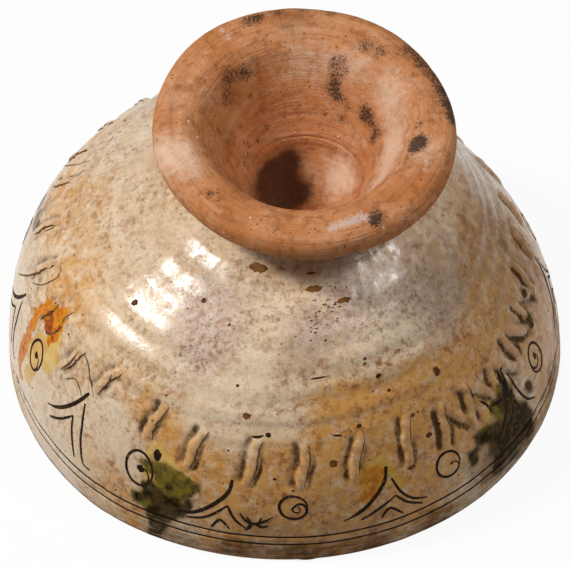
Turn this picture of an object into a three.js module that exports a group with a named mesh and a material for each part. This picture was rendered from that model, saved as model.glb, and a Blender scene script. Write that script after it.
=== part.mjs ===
// Footed sgraffito bowl of glazed red earthenware, standing upside down on its rim with its foot ring up.
// Millimetres, +Z up, origin at the middle of the rim, on the surface that the rim stands on.
// Every piece is a layer or a turned part of the real bowl: two thrown clay parts, the slip that joins
// them, and a white slip and a lead glaze on each side of the bowl. All are turned about the Z axis,
// then moved together by settle(), which holds the lean and the skewed foot that the potter left.

import * as THREE from 'three';

// Facets round every turned piece, and steps along its curves
const facets = 48;
const domeSteps = 7;
const coveSteps = 3;
const interiorSteps = 8;
const pitSteps = 4;
const edgeSteps = 3;
const lipSteps = 2;

// Outer form of the bowl, measured over the glaze
const rimRadius = 80;
const crownHeight = 78.3; // where the dome's ellipse would close on the axis
const footingRadius = 38.5; // where the dome turns up into the neck
const neckRadius = 28.5;
const neckRise = 4.5; // straight part of the neck above its cove

// Inside of the bowl
const rimWall = 7;
const interiorSquareness = 2.6; // 2 is an ellipse, more is fuller at the shoulder
const floorThickness = 6.5; // from the pit in the foot down to the glaze inside

// Coats on the clay, with the clearance that keeps neighbouring pieces apart
const glazeThickness = 0.5;
const slipThickness = 0.5;
const clearance = 0.3;
const bareRim = 1.8; // clay left bare at the lip
const lipRounding = 1;
const slipBareRim = 0.6; // the slip starts this much further up than the glaze

// Two lines cut round the wall above the rim
const grooveHeights = [7.5, 10.5];
const grooveWidth = 1;
const grooveDepth = 0.3;

// Foot: a thrown ring that flares to a thick flange, luted on the bowl
const jointRise = 1.4; // joint between bowl and foot, above the end of the dome
const lutingThickness = 0.8;
const footRise = 23.4; // face of the foot, above the joint
const footRadius = 41.8;
const flangeThickness = 9;
const flangeRounding = 4.2;
const flangeUndercut = 1.4; // the flange's underside slopes up to its edge by this much
const landWidth = 4.3; // flat part of the face that the bowl rests on when it is in use
const hollowRadius = 28.8;
const hollowLipDrop = 0.9; // the face falls this much from the flat to the hollow
const hollowBaseRadius = 16.4;
const lutingInset = 0.4; // the joint's slip stands in from the foot's hollow
const pitRadius = 15.6;
const pitDepth = 12.5;

// What the potter's hand left: a lean of the dome, a foot off centre and out of level
const domeLean = 3.4;
const leanHeight = 50;
const footOffset = new THREE.Vector2(5.4, 0.4);
const footShiftDrop = 24; // the dome begins to move over to the foot's place this far under the joint
const footShiftRise = 30;
const coreSpread = 8; // round the pit, the form goes over from the foot's place to the dome's in this width
const footSlope = new THREE.Vector2(-0.011, 0.065);
const footSlopeRise = 12; // above the joint, where the slope of the foot is reached
const footOval = 0.02; // the foot is this share longer front to back than across
const rimSwell = 1;
const rimSwellAngle = THREE.MathUtils.degToRad(-128);
const rimSwellSpread = THREE.MathUtils.degToRad(18);
const rimSwellHeight = 30;

const coatDepth = glazeThickness + slipThickness + 2 * clearance;
const footingAngle = Math.acos(footingRadius / rimRadius);
const jointHeight = crownHeight * Math.sin(footingAngle) + jointRise;
const footHeight = jointHeight + footRise;
const footShiftStart = jointHeight - footShiftDrop;

function smoothStep(value, start, length) {
  const t = THREE.MathUtils.clamp((value - start) / length, 0, 1);
  return t * t * (3 - 2 * t);
}

// Moves a point of the true round form to where it lies on this bowl. The pit goes with the foot above it.
function settle(point) {
  const offCore = smoothStep(Math.hypot(point.x, point.y), hollowBaseRadius, coreSpread);
  const inFoot = smoothStep(point.z + pitDepth * (1 - offCore), footShiftStart, footShiftRise);
  const inFlange = smoothStep(point.z, jointHeight, footSlopeRise);
  const lean = -domeLean * smoothStep(point.z, 0, leanHeight) * (1 - inFoot);
  const turn = Math.atan2(point.y, point.x) - rimSwellAngle;
  const offAngle = Math.atan2(Math.sin(turn), Math.cos(turn)) / rimSwellSpread;
  const nearRim = Math.max(0, 1 - point.z / rimSwellHeight);
  const swell = 1 + (rimSwell / rimRadius) * nearRim * Math.exp(-offAngle * offAngle);
  const rise = inFlange * (point.x * footSlope.x + point.y * footSlope.y);
  point.x = point.x * swell + lean + footOffset.x * inFoot;
  point.y = point.y * swell * (1 + footOval * inFlange) + footOffset.y * inFoot;
  point.z += rise;
  return point;
}

// A closed piece turned about the Z axis from an outline of [radius, height] points.
function turned(name, outline, material) {
  const points = outline.map(([radius, height]) => new THREE.Vector2(radius, height));
  const onAxis = points[0].x === 0 && points[points.length - 1].x === 0;
  if (!onAxis) points.push(points[0].clone());
  const geometry = new THREE.LatheGeometry(points, facets);
  geometry.rotateX(Math.PI / 2);
  const position = geometry.getAttribute('position');
  const point = new THREE.Vector3();
  for (let i = 0; i < position.count; i += 1) {
    settle(point.fromBufferAttribute(position, i));
    position.setXYZ(i, point.x, point.y, point.z);
  }
  geometry.computeVertexNormals();
  const mesh = new THREE.Mesh(geometry, material);
  mesh.name = name;
  return mesh;
}

// Moves an outline to its left by a distance, square to its own direction. A point on the axis stays on it.
function offsetOutline(outline, distance) {
  return outline.map(([radius, height], i) => {
    const [r0, h0] = outline[Math.max(i - 1, 0)];
    const [r1, h1] = outline[Math.min(i + 1, outline.length - 1)];
    if (radius === 0) return [0, height + distance * Math.sign(r1 - r0)];
    const length = Math.hypot(r1 - r0, h1 - h0);
    return [radius - (distance * (h1 - h0)) / length, height + (distance * (r1 - r0)) / length];
  });
}

// Radius of a rising outline at a height, on the straight line between its points.
function radiusAt(outline, height) {
  const next = Math.max(outline.findIndex((point) => point[1] >= height), 1);
  const [r0, h0] = outline[next - 1];
  const [r1, h1] = outline[next];
  return r0 + ((r1 - r0) * (height - h0)) / (h1 - h0);
}

// The stretch of a rising outline between two heights, with new end points exactly there.
function between(outline, low, high) {
  const inside = outline.filter((point) => point[1] > low + clearance && point[1] < high - clearance);
  return [[radiusAt(outline, low), low], ...inside, [radiusAt(outline, high), high]];
}

// Points on a curve that leaves its start and reaches its end along the lines to a corner.
function curveByCorner(start, corner, end, steps) {
  const vectors = [start, corner, end].map(([radius, height]) => new THREE.Vector2(radius, height));
  return new THREE.QuadraticBezierCurve(...vectors).getPoints(steps).map((point) => [point.x, point.y]);
}

// Outline of the glazed outside from the rim up: an ellipse, then the cove into the neck.
function outsideOutline() {
  const dome = Array.from({ length: domeSteps + 1 }, (_, i) => {
    const angle = (footingAngle * i) / domeSteps;
    return [rimRadius * Math.cos(angle), crownHeight * Math.sin(angle)];
  });
  const footing = dome[domeSteps];
  const slope = crownHeight / rimRadius / Math.tan(footingAngle);
  const corner = [neckRadius, footing[1] + slope * (footing[0] - neckRadius)];
  const neckEnd = [neckRadius, corner[1] + neckRise];
  return [...dome, ...curveByCorner(footing, corner, neckEnd, coveSteps).slice(1)];
}

// Outline of the glazed inside from the rim up to the axis: a quarter of a superellipse.
function insideOutline() {
  const radius = rimRadius - rimWall;
  const depth = jointHeight - pitDepth - floorThickness;
  const power = 2 / interiorSquareness;
  return Array.from({ length: interiorSteps + 1 }, (_, i) => {
    if (i === interiorSteps) return [0, depth];
    const angle = (Math.PI / 2) * (i / interiorSteps);
    return [radius * Math.cos(angle) ** power, depth * Math.sin(angle) ** power];
  });
}

// A coat on the outside between two heights, from its face to its back.
function outerCoat(face, back, low, high) {
  return [...between(face, low, high), ...between(back, low, high).reverse()];
}

// A coat on the inside, from a height above the rim up to the axis.
function innerCoat(outline, depth, thickness, low) {
  const above = (shifted) => [
    [radiusAt(shifted, low), low],
    ...shifted.filter((point) => point[1] > low + clearance),
  ];
  const face = above(offsetOutline(outline, -depth));
  const back = above(offsetOutline(outline, -depth - thickness));
  return [...face.reverse(), ...back];
}

// Cuts the encircling lines into a coat's outline, as V grooves in its outer face.
function withGrooves(outline, grooves) {
  const cut = grooves.flatMap((height) =>
    [-1, 0, 1].map((side) => {
      const at = height + (side * grooveWidth) / 2;
      return [radiusAt(outline, at) - (side === 0 ? grooveDepth : 0), at];
    }),
  );
  const clear = outline.filter(([, at]) => grooves.every((height) => Math.abs(at - height) > grooveWidth));
  return [...clear, ...cut].sort((a, b) => a[1] - b[1]);
}

// The bowl itself: rim, wall and the thick floor with the pit that the foot opens into.
function bowlWallOutline(outside, inside) {
  const outer = between(offsetOutline(outside, coatDepth), bareRim, jointHeight);
  const inner = offsetOutline(inside, -coatDepth).filter((point) => point[1] > bareRim + clearance);
  const innerRim = [radiusAt(offsetOutline(inside, -coatDepth), bareRim), bareRim];
  const outerLip = curveByCorner([outer[0][0] - lipRounding, 0], [outer[0][0], 0], outer[0], lipSteps);
  const innerLip = curveByCorner(innerRim, [innerRim[0], 0], [innerRim[0] + lipRounding, 0], lipSteps);
  const pit = Array.from({ length: pitSteps + 1 }, (_, i) => {
    const angle = (Math.PI / 2) * (i / pitSteps);
    const radius = i === pitSteps ? 0 : pitRadius * Math.cos(angle);
    return [radius, jointHeight - pitDepth * Math.sin(angle)];
  });
  return [...inner.reverse(), ...innerLip, ...outerLip, ...outer.slice(1), ...pit];
}

// The foot: neck, flange with a rounded edge, flat land, and the hollow that narrows to the joint.
function footOutline(outside) {
  const base = jointHeight + lutingThickness + 2 * clearance;
  const clay = offsetOutline(outside, coatDepth);
  const neckTop = clay[clay.length - 1];
  const neck = between(clay, base, neckTop[1]);
  const underEdge = [footRadius - flangeRounding, footHeight - flangeThickness];
  const underside = curveByCorner(neckTop, [neckTop[0], underEdge[1] - flangeUndercut], underEdge, coveSteps);
  const lowerEdge = curveByCorner(
    underEdge,
    [footRadius, underEdge[1] + flangeUndercut],
    [footRadius, footHeight - flangeThickness / 2],
    edgeSteps,
  );
  const landOuter = [footRadius - flangeRounding, footHeight];
  const upperEdge = curveByCorner(lowerEdge[edgeSteps], [footRadius, footHeight], landOuter, edgeSteps);
  const landInner = [landOuter[0] - landWidth, footHeight];
  const hollowLip = [hollowRadius, footHeight - hollowLipDrop];
  return [
    ...neck,
    ...underside.slice(1),
    ...lowerEdge.slice(1),
    ...upperEdge.slice(1),
    landInner,
    hollowLip,
    [hollowBaseRadius, base],
  ];
}

// The joint's slip: a flat ring between the bowl and the foot, inside the coats that cover the joint.
function lutingOutline(outside) {
  const low = jointHeight + clearance;
  const high = low + lutingThickness;
  const face = between(offsetOutline(outside, coatDepth), low, high);
  const inner = hollowBaseRadius - lutingInset;
  return [...face, [inner, high], [inner, low]];
}

const matt = 0.85;
const glossy = 0.3;
const earthenware = new THREE.MeshStandardMaterial({ color: 0xb9744f, roughness: matt });
const whiteSlip = new THREE.MeshStandardMaterial({ color: 0xe6dcc6, roughness: matt });
const lutingSlip = new THREE.MeshStandardMaterial({ color: 0xa8664a, roughness: matt });
const leadGlaze = new THREE.MeshStandardMaterial({ color: 0xd3bf98, roughness: glossy });

const outside = outsideOutline();
const inside = insideOutline();
const coatTop = outside[outside.length - 1][1] - coatDepth;
const slipDepth = glazeThickness + clearance;
const slipLow = bareRim + slipBareRim;
const glazeTop = coatTop - clearance;
const slipTop = glazeTop - slipBareRim;
const slipFace = offsetOutline(outside, slipDepth);
const slipBack = offsetOutline(outside, slipDepth + slipThickness);
const glazeFace = withGrooves(outside, grooveHeights);
const glazeBack = offsetOutline(outside, glazeThickness);

const bowl = new THREE.Group();
bowl.add(turned('bowl_wall', bowlWallOutline(outside, inside), earthenware));
bowl.add(turned('pedestal_foot', footOutline(outside), earthenware));
bowl.add(turned('luting_slip', lutingOutline(outside), lutingSlip));
bowl.add(turned('outer_slip', outerCoat(slipFace, slipBack, slipLow, slipTop), whiteSlip));
bowl.add(turned('outer_glaze', outerCoat(glazeFace, glazeBack, bareRim, glazeTop), leadGlaze));
bowl.add(turned('inner_slip', innerCoat(inside, slipDepth, slipThickness, slipLow), whiteSlip));
bowl.add(turned('inner_glaze', innerCoat(inside, 0, glazeThickness, bareRim), leadGlaze));

export default bowl;
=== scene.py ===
# %% [markdown]
# # A footed sgraffito bowl, standing upside down
# The bowl is red earthenware with a coat of white slip. The potter cut the ornament through the slip,
# splashed the bowl with coloured oxides and glazed it with lead. The foot ring stayed bare clay.
# Each part here is a surface worked out with numpy, laid on the same turned form as the frame's solids.
# Sizes are in millimetres until a mesh is made, and azimuths are degrees round the bowl's axis, with -90
# towards the viewer.

# %% Load the frame
import math

import bpy
import numpy as np
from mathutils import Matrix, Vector


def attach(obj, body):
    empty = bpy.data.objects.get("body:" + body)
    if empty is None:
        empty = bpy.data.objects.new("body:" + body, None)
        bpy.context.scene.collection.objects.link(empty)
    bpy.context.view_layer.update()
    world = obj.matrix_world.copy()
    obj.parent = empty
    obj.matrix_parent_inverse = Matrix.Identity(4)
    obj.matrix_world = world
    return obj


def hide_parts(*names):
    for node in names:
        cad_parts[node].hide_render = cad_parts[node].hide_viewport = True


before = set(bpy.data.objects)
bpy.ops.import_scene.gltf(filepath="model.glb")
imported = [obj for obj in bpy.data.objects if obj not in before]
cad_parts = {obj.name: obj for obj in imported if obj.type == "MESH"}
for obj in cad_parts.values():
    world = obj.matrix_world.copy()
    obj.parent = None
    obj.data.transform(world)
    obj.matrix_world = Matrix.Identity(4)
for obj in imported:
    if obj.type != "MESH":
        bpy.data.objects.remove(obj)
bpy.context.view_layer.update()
MM = 0.001
print("nodes:", ", ".join(sorted(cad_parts)))

# %% [markdown]
# ## The camera
# The picture looks down on the bowl from about 49 degrees, from a little over a metre away. A long lens
# from far off keeps the verticals calm. The numbers come from fitting the rim and the foot ring, two
# circles of known size, to their outlines in the photograph.

# %% Place the camera
PICTURE_PIXELS = 570
FOCAL_PIXELS = 3831
SENSOR_WIDTH = 36.0
CAMERA_DISTANCE = 1097 * MM
CAMERA_ELEVATION = math.radians(49.4)
AIM = Vector((0, 0, 25.2 * MM))

camera = bpy.data.objects.new("camera", bpy.data.cameras.new("camera"))
bpy.context.collection.objects.link(camera)
camera.data.sensor_width = SENSOR_WIDTH
camera.data.lens = FOCAL_PIXELS / PICTURE_PIXELS * SENSOR_WIDTH
back = Vector((0, -math.cos(CAMERA_ELEVATION), math.sin(CAMERA_ELEVATION)))
camera.location = AIM + CAMERA_DISTANCE * back
camera.rotation_euler = back.to_track_quat("Z", "Y").to_euler()
bpy.context.scene.camera = camera
print(f"lens {camera.data.lens:.0f} mm, camera at {tuple(round(c, 3) for c in camera.location)}")

# %% [markdown]
# ## The turned form
# A thrown pot is a surface of revolution, so its whole shape is one outline carried round the axis. The
# outside is a quarter of an ellipse that turns up into the neck by a short curve. The potter's hand left
# the dome leaning and the foot off centre, and settle() gives every piece that same lean.

# %% Sizes of the form
RIM_RADIUS = 80.0
CROWN_HEIGHT = 78.3
FOOTING_RADIUS = 38.5
NECK_RADIUS = 28.5
NECK_RISE = 4.5
RIM_WALL = 7.0
INTERIOR_SQUARENESS = 2.6
FLOOR_THICKNESS = 6.5
COAT_DEPTH = 1.6
GLAZE_DEPTH = 0.75
BARE_RIM = 1.3
FOOT_RISE = 23.4
FOOT_RADIUS = 41.8
FLANGE_THICKNESS = 9.0
FLANGE_ROUNDING = 4.2
FLANGE_UNDERCUT = 1.4
LAND_WIDTH = 4.3
HOLLOW_RADIUS = 28.8
HOLLOW_BASE_RADIUS = 16.4
HOLLOW_LIP_DROP = 0.9
PIT_RADIUS = 15.6
PIT_DEPTH = 12.5
JOINT_RISE = 1.4
JOINT_THICKNESS = 1.4

footing_angle = math.acos(FOOTING_RADIUS / RIM_RADIUS)
footing_height = CROWN_HEIGHT * math.sin(footing_angle)
joint_height = footing_height + JOINT_RISE
foot_height = joint_height + FOOT_RISE
print(f"dome ends at {footing_height:.1f} mm, joint {joint_height:.1f} mm, foot face {foot_height:.1f} mm")

# %% Smooth steps, curves and the lean
DOME_LEAN, LEAN_HEIGHT = 3.4, 50.0
FOOT_OFFSET = (5.4, 0.4)
FOOT_SHIFT_DROP, FOOT_SHIFT_RISE = 24.0, 30.0
CORE_SPREAD = 8.0
FOOT_SLOPE, FOOT_SLOPE_RISE, FOOT_OVAL = (-0.011, 0.065), 12.0, 0.02
RIM_SWELL, RIM_SWELL_ANGLE, RIM_SWELL_SPREAD, RIM_SWELL_HEIGHT = 1.0, -128.0, 18.0, 30.0


def smooth_step(value, start, length):
    """0 below start, 1 past start + length, and t * t * (3 - 2 t) between."""
    t = np.clip((value - start) / length, 0, 1)
    return t * t * (3 - 2 * t)


def bell(value, centre, spread):
    """exp(-((value - centre) / spread) squared): 1 at the centre, falling off on both sides."""
    return np.exp(-(((value - centre) / spread) ** 2))


def angle_between(azimuth, other):
    """Difference of two azimuths in degrees, brought between -180 and 180."""
    return (azimuth - other + 180) % 360 - 180


def curve_by_corner(start, corner, end, steps):
    """Quadratic curve (1-t)^2 start + 2 t (1-t) corner + t^2 end, at steps + 1 values of t."""
    t = np.linspace(0, 1, steps + 1)[:, None]
    start, corner, end = (np.array(point, float) for point in (start, corner, end))
    return (1 - t) ** 2 * start + 2 * t * (1 - t) * corner + t**2 * end


def settle(points):
    """Moves points of the round form, in mm, to where they lie on this bowl: the dome leans to the left,
    the foot stands off centre and out of level, and the rim swells on one side."""
    x, y, z = points.T
    off_core = smooth_step(np.hypot(x, y), HOLLOW_BASE_RADIUS, CORE_SPREAD)
    shift_start = joint_height - FOOT_SHIFT_DROP
    in_foot = smooth_step(z + PIT_DEPTH * (1 - off_core), shift_start, FOOT_SHIFT_RISE)
    in_flange = smooth_step(z, joint_height, FOOT_SLOPE_RISE)
    lean = -DOME_LEAN * smooth_step(z, 0, LEAN_HEIGHT) * (1 - in_foot)
    off_swell = angle_between(np.degrees(np.arctan2(y, x)), RIM_SWELL_ANGLE)
    near_rim = np.clip(1 - z / RIM_SWELL_HEIGHT, 0, None)
    swell = 1 + RIM_SWELL / RIM_RADIUS * near_rim * bell(off_swell, 0, RIM_SWELL_SPREAD)
    rise = in_flange * (x * FOOT_SLOPE[0] + y * FOOT_SLOPE[1])
    moved_x = x * swell + lean + FOOT_OFFSET[0] * in_foot
    moved_y = y * swell * (1 + FOOT_OVAL * in_flange) + FOOT_OFFSET[1] * in_foot
    return np.stack([moved_x, moved_y, z + rise], axis=-1)


crown = settle(np.array([[0.0, 0.0, joint_height]]))[0]
print("the middle of the joint moves to", crown.round(2).tolist())

# %% Outlines with their normals
class Outline:
    """A line of [radius, height] points that is read by its path length, with its left-hand normal."""

    def __init__(self, points):
        points = np.asarray(points, float)
        steps = np.hypot(*np.diff(points, axis=0).T)
        self.points = points[np.r_[True, steps > 0]]
        steps = steps[steps > 0]
        self.path = np.r_[0, np.cumsum(steps)]
        self.length = self.path[-1]
        along = np.gradient(self.points, self.path, axis=0)
        along /= np.linalg.norm(along, axis=1, keepdims=True)
        self.normals = np.stack([along[:, 1], -along[:, 0]], axis=-1)

    def at(self, path):
        """Radius, height and both parts of the normal at each path length."""
        columns = np.hstack([self.points, self.normals])
        return [np.interp(path, self.path, column) for column in columns.T]

    def path_at_height(self, height):
        """Path length at each height of an outline that rises all the way."""
        return np.interp(height, self.points[:, 1], self.path)

    def turned(self, azimuth, path, proud=0.0):
        """Points (r cos a, r sin a, z) of the line carried round the axis to an azimuth a, after a step
        of proud mm along its normal."""
        radius, height, out, up = self.at(path)
        a = np.radians(azimuth)
        reach = radius + out * proud
        return np.stack([reach * np.cos(a), reach * np.sin(a), height + up * proud], axis=-1)


def unrolled(azimuth, path):
    """The vector (cos a, sin a, path), in which a material can stretch streaks along the turning."""
    a = np.radians(azimuth)
    return np.stack([np.cos(a), np.sin(a), path], axis=-1)


def dome_outline():
    """Ellipse (rim cos t, crown sin t) up to the footing, then a curve by a corner into the neck."""
    t = np.linspace(0, footing_angle, 500)
    dome = np.stack([RIM_RADIUS * np.cos(t), CROWN_HEIGHT * np.sin(t)], axis=-1)
    slope = CROWN_HEIGHT / RIM_RADIUS / math.tan(footing_angle)
    corner = (NECK_RADIUS, footing_height + slope * (FOOTING_RADIUS - NECK_RADIUS))
    neck_end = (NECK_RADIUS, corner[1] + NECK_RISE)
    return Outline(np.vstack([dome, curve_by_corner(dome[-1], corner, neck_end, 120)[1:]]))


outside = dome_outline()
neck_top = outside.points[-1, 1]
print(f"outside path {outside.length:.1f} mm, neck ends at {neck_top:.1f} mm")

# %% [markdown]
# ## Noise that closes round the pot
# Hand work is uneven, but never with a seam. Smooth noise on a ring is random values on a lattice whose
# first column comes again after the last, joined by smooth steps.

# %% Ring noise
NOISE_ROWS, ROWS_BELOW = 200, 40


def ring_noise(azimuth, along, columns, spacing, seed):
    """Random values from -1 to 1 on a lattice of columns round the ring and one row per spacing along it,
    joined by smooth steps, so it has no seam at 180 degrees."""
    u = (azimuth % 360) / 360 * columns
    v = along / spacing + ROWS_BELOW
    values = np.random.default_rng(seed).uniform(-1, 1, (NOISE_ROWS, columns))
    column = np.floor(u).astype(int) % columns
    row = np.clip(np.floor(v).astype(int), 0, NOISE_ROWS - 2)
    across, up = smooth_step(u % 1, 0, 1), smooth_step(v - np.floor(v), 0, 1)
    low = values[row, column] * (1 - across) + values[row, (column + 1) % columns] * across
    high = values[row + 1, column] * (1 - across) + values[row + 1, (column + 1) % columns] * across
    return low * (1 - up) + high * up


def lumps(azimuth, along, listed):
    """Sum of height times ring noise, over a list of height, columns, spacing and seed."""
    return sum(height * ring_noise(azimuth, along, *lattice) for height, *lattice in listed)


print("noise at the seam:", ring_noise(np.array([0.0, 360.0]), np.zeros(2), 12, 5.0, 1))

# %% [markdown]
# ## The band of cut bars
# Above the rim runs a band of gouges. Each is a scoop through the slip with the pushed-up clay left as a
# raised finger beside it. On the right the fingers join in a zigzag. A bar is given by the azimuth and
# height of its top and bottom. They are typed in one by one, because the potter spaced them by eye.

# %% Bars and the ridges between them
BARS = [
    # azimuth and height of the top, azimuth and height of the bottom
    (-116.6, 44.5, -119.6, 33.5), (-105.8, 41.5, -110, 29.5), (-93.2, 40.8, -97, 27.2),
    (-82.8, 39.4, -85.2, 26.6), (-70.6, 39, -74.2, 26.4), (-58.6, 39.6, -61.8, 25.4),
    (-49.6, 37.4, -52.1, 25), (-42.2, 38, -43.4, 25.7), (-33.5, 37, -34.1, 27), (-24.8, 39, -24.4, 27.3),
    (-15, 40.3, -14.5, 28.3), (-5, 42.6, -5.2, 30.7), (-130.5, 46.6, -135.4, 37.6),
    (-142, 45, -146.5, 35.4), (-157.5, 47, -160.5, 38), (-168.5, 50, -173, 39), (178.5, 51, 174.5, 41),
    (165, 52.5, 160, 42.5),
]
HIDDEN_BARS = 13
HIDDEN_FIRST, HIDDEN_LAST = (151.0, 51.5), (6.0, 42.5)
HIDDEN_LEANS = (-3.5, 0.5)
BAR_TALL = 11.5
ornament_random = np.random.default_rng(7)


def hidden_bars():
    """Bars on the side away from the viewer, evenly spaced with a little seeded unevenness."""
    azimuths, tops = np.linspace(HIDDEN_FIRST, HIDDEN_LAST, HIDDEN_BARS).T
    tops = tops + ornament_random.uniform(-1, 1, HIDDEN_BARS)
    leans = ornament_random.uniform(*HIDDEN_LEANS, HIDDEN_BARS)
    return [(a, top, a + lean, top - BAR_TALL) for a, top, lean in zip(azimuths, tops, leans)]


bars = BARS + hidden_bars()
ZIGZAG_FROM, ZIGZAG_TO = -53.0, -3.0
in_zigzag = sorted(bar for bar in bars if ZIGZAG_FROM < bar[0] < ZIGZAG_TO)
returns = [(a[0], a[1], b[2], b[3]) for a, b in zip(in_zigzag[:-1], in_zigzag[1:])]
print(len(bars), "bars,", len(returns), "return ridges in the zigzag")

# %% Distances on the round form
def round_point(azimuth, height):
    """Point of the round form, before relief and lean, at an azimuth and a height on the dome."""
    return outside.turned(azimuth, outside.path_at_height(np.asarray(height, float)))


def azimuth_of(points):
    """Azimuth in degrees of points round the bowl's axis."""
    return np.degrees(np.arctan2(points[:, 1], points[:, 0]))


def beside_stroke(points, start, end):
    """For points near a straight stroke: share of the way along it, signed distance to its right, seen
    from outside with the stroke's start at the top, and distance to its nearest point."""
    a, b = round_point(*start), round_point(*end)
    along = b - a
    length = np.linalg.norm(along)
    along /= length
    middle = (a + b) / 2
    out = np.array([middle[0], middle[1], RIM_RADIUS * 0.4])
    right = np.cross(-along, out / np.linalg.norm(out))
    right /= np.linalg.norm(right)
    offset = points - a
    share = offset @ along / length
    nearest = (np.clip(share, 0, 1) * length)[:, None] * along
    return share, offset @ right, np.linalg.norm(offset - nearest, axis=1)


share, side, away = beside_stroke(round_point([-90, -88], [34, 34]), (-90, 40), (-90, 28))
print("two points beside a stroke: share", share.round(2), "side", side.round(2), "mm")

# %% [markdown]
# ## Fingers and scoops
# A scoop is a bell curve across its stroke, and a finger is a ridge exp(-|side / width| ^ 6), which is
# flatter on top and steeper at its sides. Both fade out at the stroke's ends, and ring noise makes each
# one uneven. Modelling them in the surface, and not as bump, lets the lamps catch their flanks. The
# scoop mask also paints shade: grey in the hollow to the right of each finger, and round the scoops.

# %% Relief of the bars
FINGER_HIGH, FINGER_WIDE, FINGER_POWER = 0.6, 1.3, 6.0
SCOOP_DEEP, SCOOP_OFF, SCOOP_WIDE = 0.6, 2.2, 1.15
FAR_DEEP, FAR_OFF, FAR_WIDE = 0.4, 2.2, 0.8
STROKE_REACH, STROKE_FADE = 6.0, (0.36, 0.2)
FINGER_UNEVEN, SHADE_UNEVEN = (0.3, 230, 1.9, 41), (0.45, 120, 3.4, 42)  # height, columns, spacing, seed
RETURN_STRENGTH = 0.8
DARK_FROM, DARK_TO, PALE_SCOOPS, ZIGZAG_SHADE = -126.0, 20.0, 0.5, 0.15


def finger_wander(share, number):
    """How far a finger strays sideways at a share of its length: a sine, and a bow to either side by
    turns."""
    return 0.35 * np.sin(share * 7 + number * 1.7) + 0.9 * (share - 0.5) ** 2 * (-1) ** number


def bar_relief(points):
    """Height of the fingers less the depth of the scoops, a finger mask, and a scoop mask that also paints
    shade.
    """
    relief, finger, scoop = np.zeros((3, len(points)))
    azimuth = azimuth_of(points)
    unevenness = lumps(azimuth, points[:, 2], [FINGER_UNEVEN])
    gathered = 0.8 + lumps(azimuth, points[:, 2], [SHADE_UNEVEN])
    strokes = [(bar, 1.0) for bar in bars] + [(ridge, RETURN_STRENGTH) for ridge in returns]
    for number, ((a0, h0, a1, h1), strength) in enumerate(strokes):
        share, side, away = beside_stroke(points, (a0, h0), (a1, h1))
        near = away < STROKE_REACH
        share, side = share[near], side[near]
        side = side - finger_wander(share, number) - unevenness[near]
        ends = 1 - smooth_step(np.abs(share - 0.5), *STROKE_FADE)
        wide = FINGER_WIDE * (0.8 + 0.3 * np.sin(share * 3.1) + 0.12 * np.sin(share * 17 + number))
        crest = np.exp(-(np.abs(side / wide) ** FINGER_POWER)) * ends * strength
        left = bell(side, -SCOOP_OFF, SCOOP_WIDE) * ends * strength
        right = bell(side, FAR_OFF, FAR_WIDE) * ends * strength * smooth_step(share, 0.1, 0.6)
        relief[near] += FINGER_HIGH * crest - SCOOP_DEEP * left - FAR_DEEP * right
        finger[near] = np.maximum(finger[near], crest)
        shade = 1.0 if DARK_FROM < a0 < DARK_TO else PALE_SCOOPS
        shade += ZIGZAG_SHADE if ZIGZAG_FROM < a0 < ZIGZAG_TO else 0.0
        # the dark mask: dark glaze in the scoop on the left, and painted shade in the far hollow on the right
        dark = np.maximum(left, 0.75 * right) * (1 - crest) * shade * gathered[near]
        scoop[near] = np.maximum(scoop[near], dark)
    scoop *= 1 - 0.8 * smooth_step(finger, 0.3, 0.4)
    return relief, finger, scoop


probe = bar_relief(round_point(np.linspace(-180, 180, 2000), np.full(2000, 34.0)))[0]
print(f"relief of the bars: {probe.min():.2f} to {probe.max():.2f} mm")

# %% [markdown]
# ## Relief of the whole outside
# The relief is a height above the turned form: throwing rings, lumps in the glaze, the bars, two lines
# cut round the rim, and a worn edge. It is held between limits so that the coat never thins to nothing.

# %% Relief of the outside
LINE_HEIGHTS = (7.5, 10.5)
LINE_HALF_WIDTH, LINE_DEPTH = 0.6, 0.35
LINE_WANDER = 0.3
RELIEF_LOW, RELIEF_HIGH = -0.55, 1.1
# each of the rim's marks: height, middle azimuth, spread in degrees, where it starts to fade and how fast
RIM_FLAT = (-0.5, -90, 24, 0, 14)
RIM_LUMP = (0.9, -85.5, 2.6, 0.5, 2.5)
RINGS = ((0.06, 3.1, 1.0, 0.0), (0.26, 7.5, 0.6, 0.02))  # height, pitch, share of the drift, twist
RINGS_START = (38, 12)
# height, columns, spacing and seed of noise
RING_DRIFT, RING_FADING = (1.6, 7, 30.0, 3), (0.45, 9, 14.0, 4)
GLAZE_LUMPS = ((0.13, 60, 9.0, 5), (0.07, 150, 3.2, 6))
line_paths = outside.path_at_height(np.array(LINE_HEIGHTS))


def line_wander(azimuth, path):
    """How far the rim lines stray up or down at an azimuth, fading out away from them."""
    near = 1 - smooth_step(np.abs(path - line_paths.mean()), 3, 4)
    return near * LINE_WANDER * ring_noise(azimuth, np.zeros_like(azimuth), 9, 1.0, 21)


def throwing_rings(azimuth, path):
    """Soft rings left by the fingers: height * sin(2 pi path / pitch) for two pitches, each of which
    wanders, and whose strength comes and goes."""
    drift = lumps(azimuth, path, [RING_DRIFT])
    fade = 0.55 + lumps(azimuth, path, [RING_FADING])
    fade *= smooth_step(path, *RINGS_START)
    waves = [
        height * np.sin((path + share * drift + azimuth * twist) * 2 * np.pi / pitch)
        for height, pitch, share, twist in RINGS
    ]
    return fade * sum(waves)


def rim_mark(azimuth, path, height, middle, spread, start, fading):
    """A flat or a lump in the rim: height * bell(azimuth), fading out up the wall."""
    return height * bell(angle_between(azimuth, middle), 0, spread) * (1 - smooth_step(path, start, fading))


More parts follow.
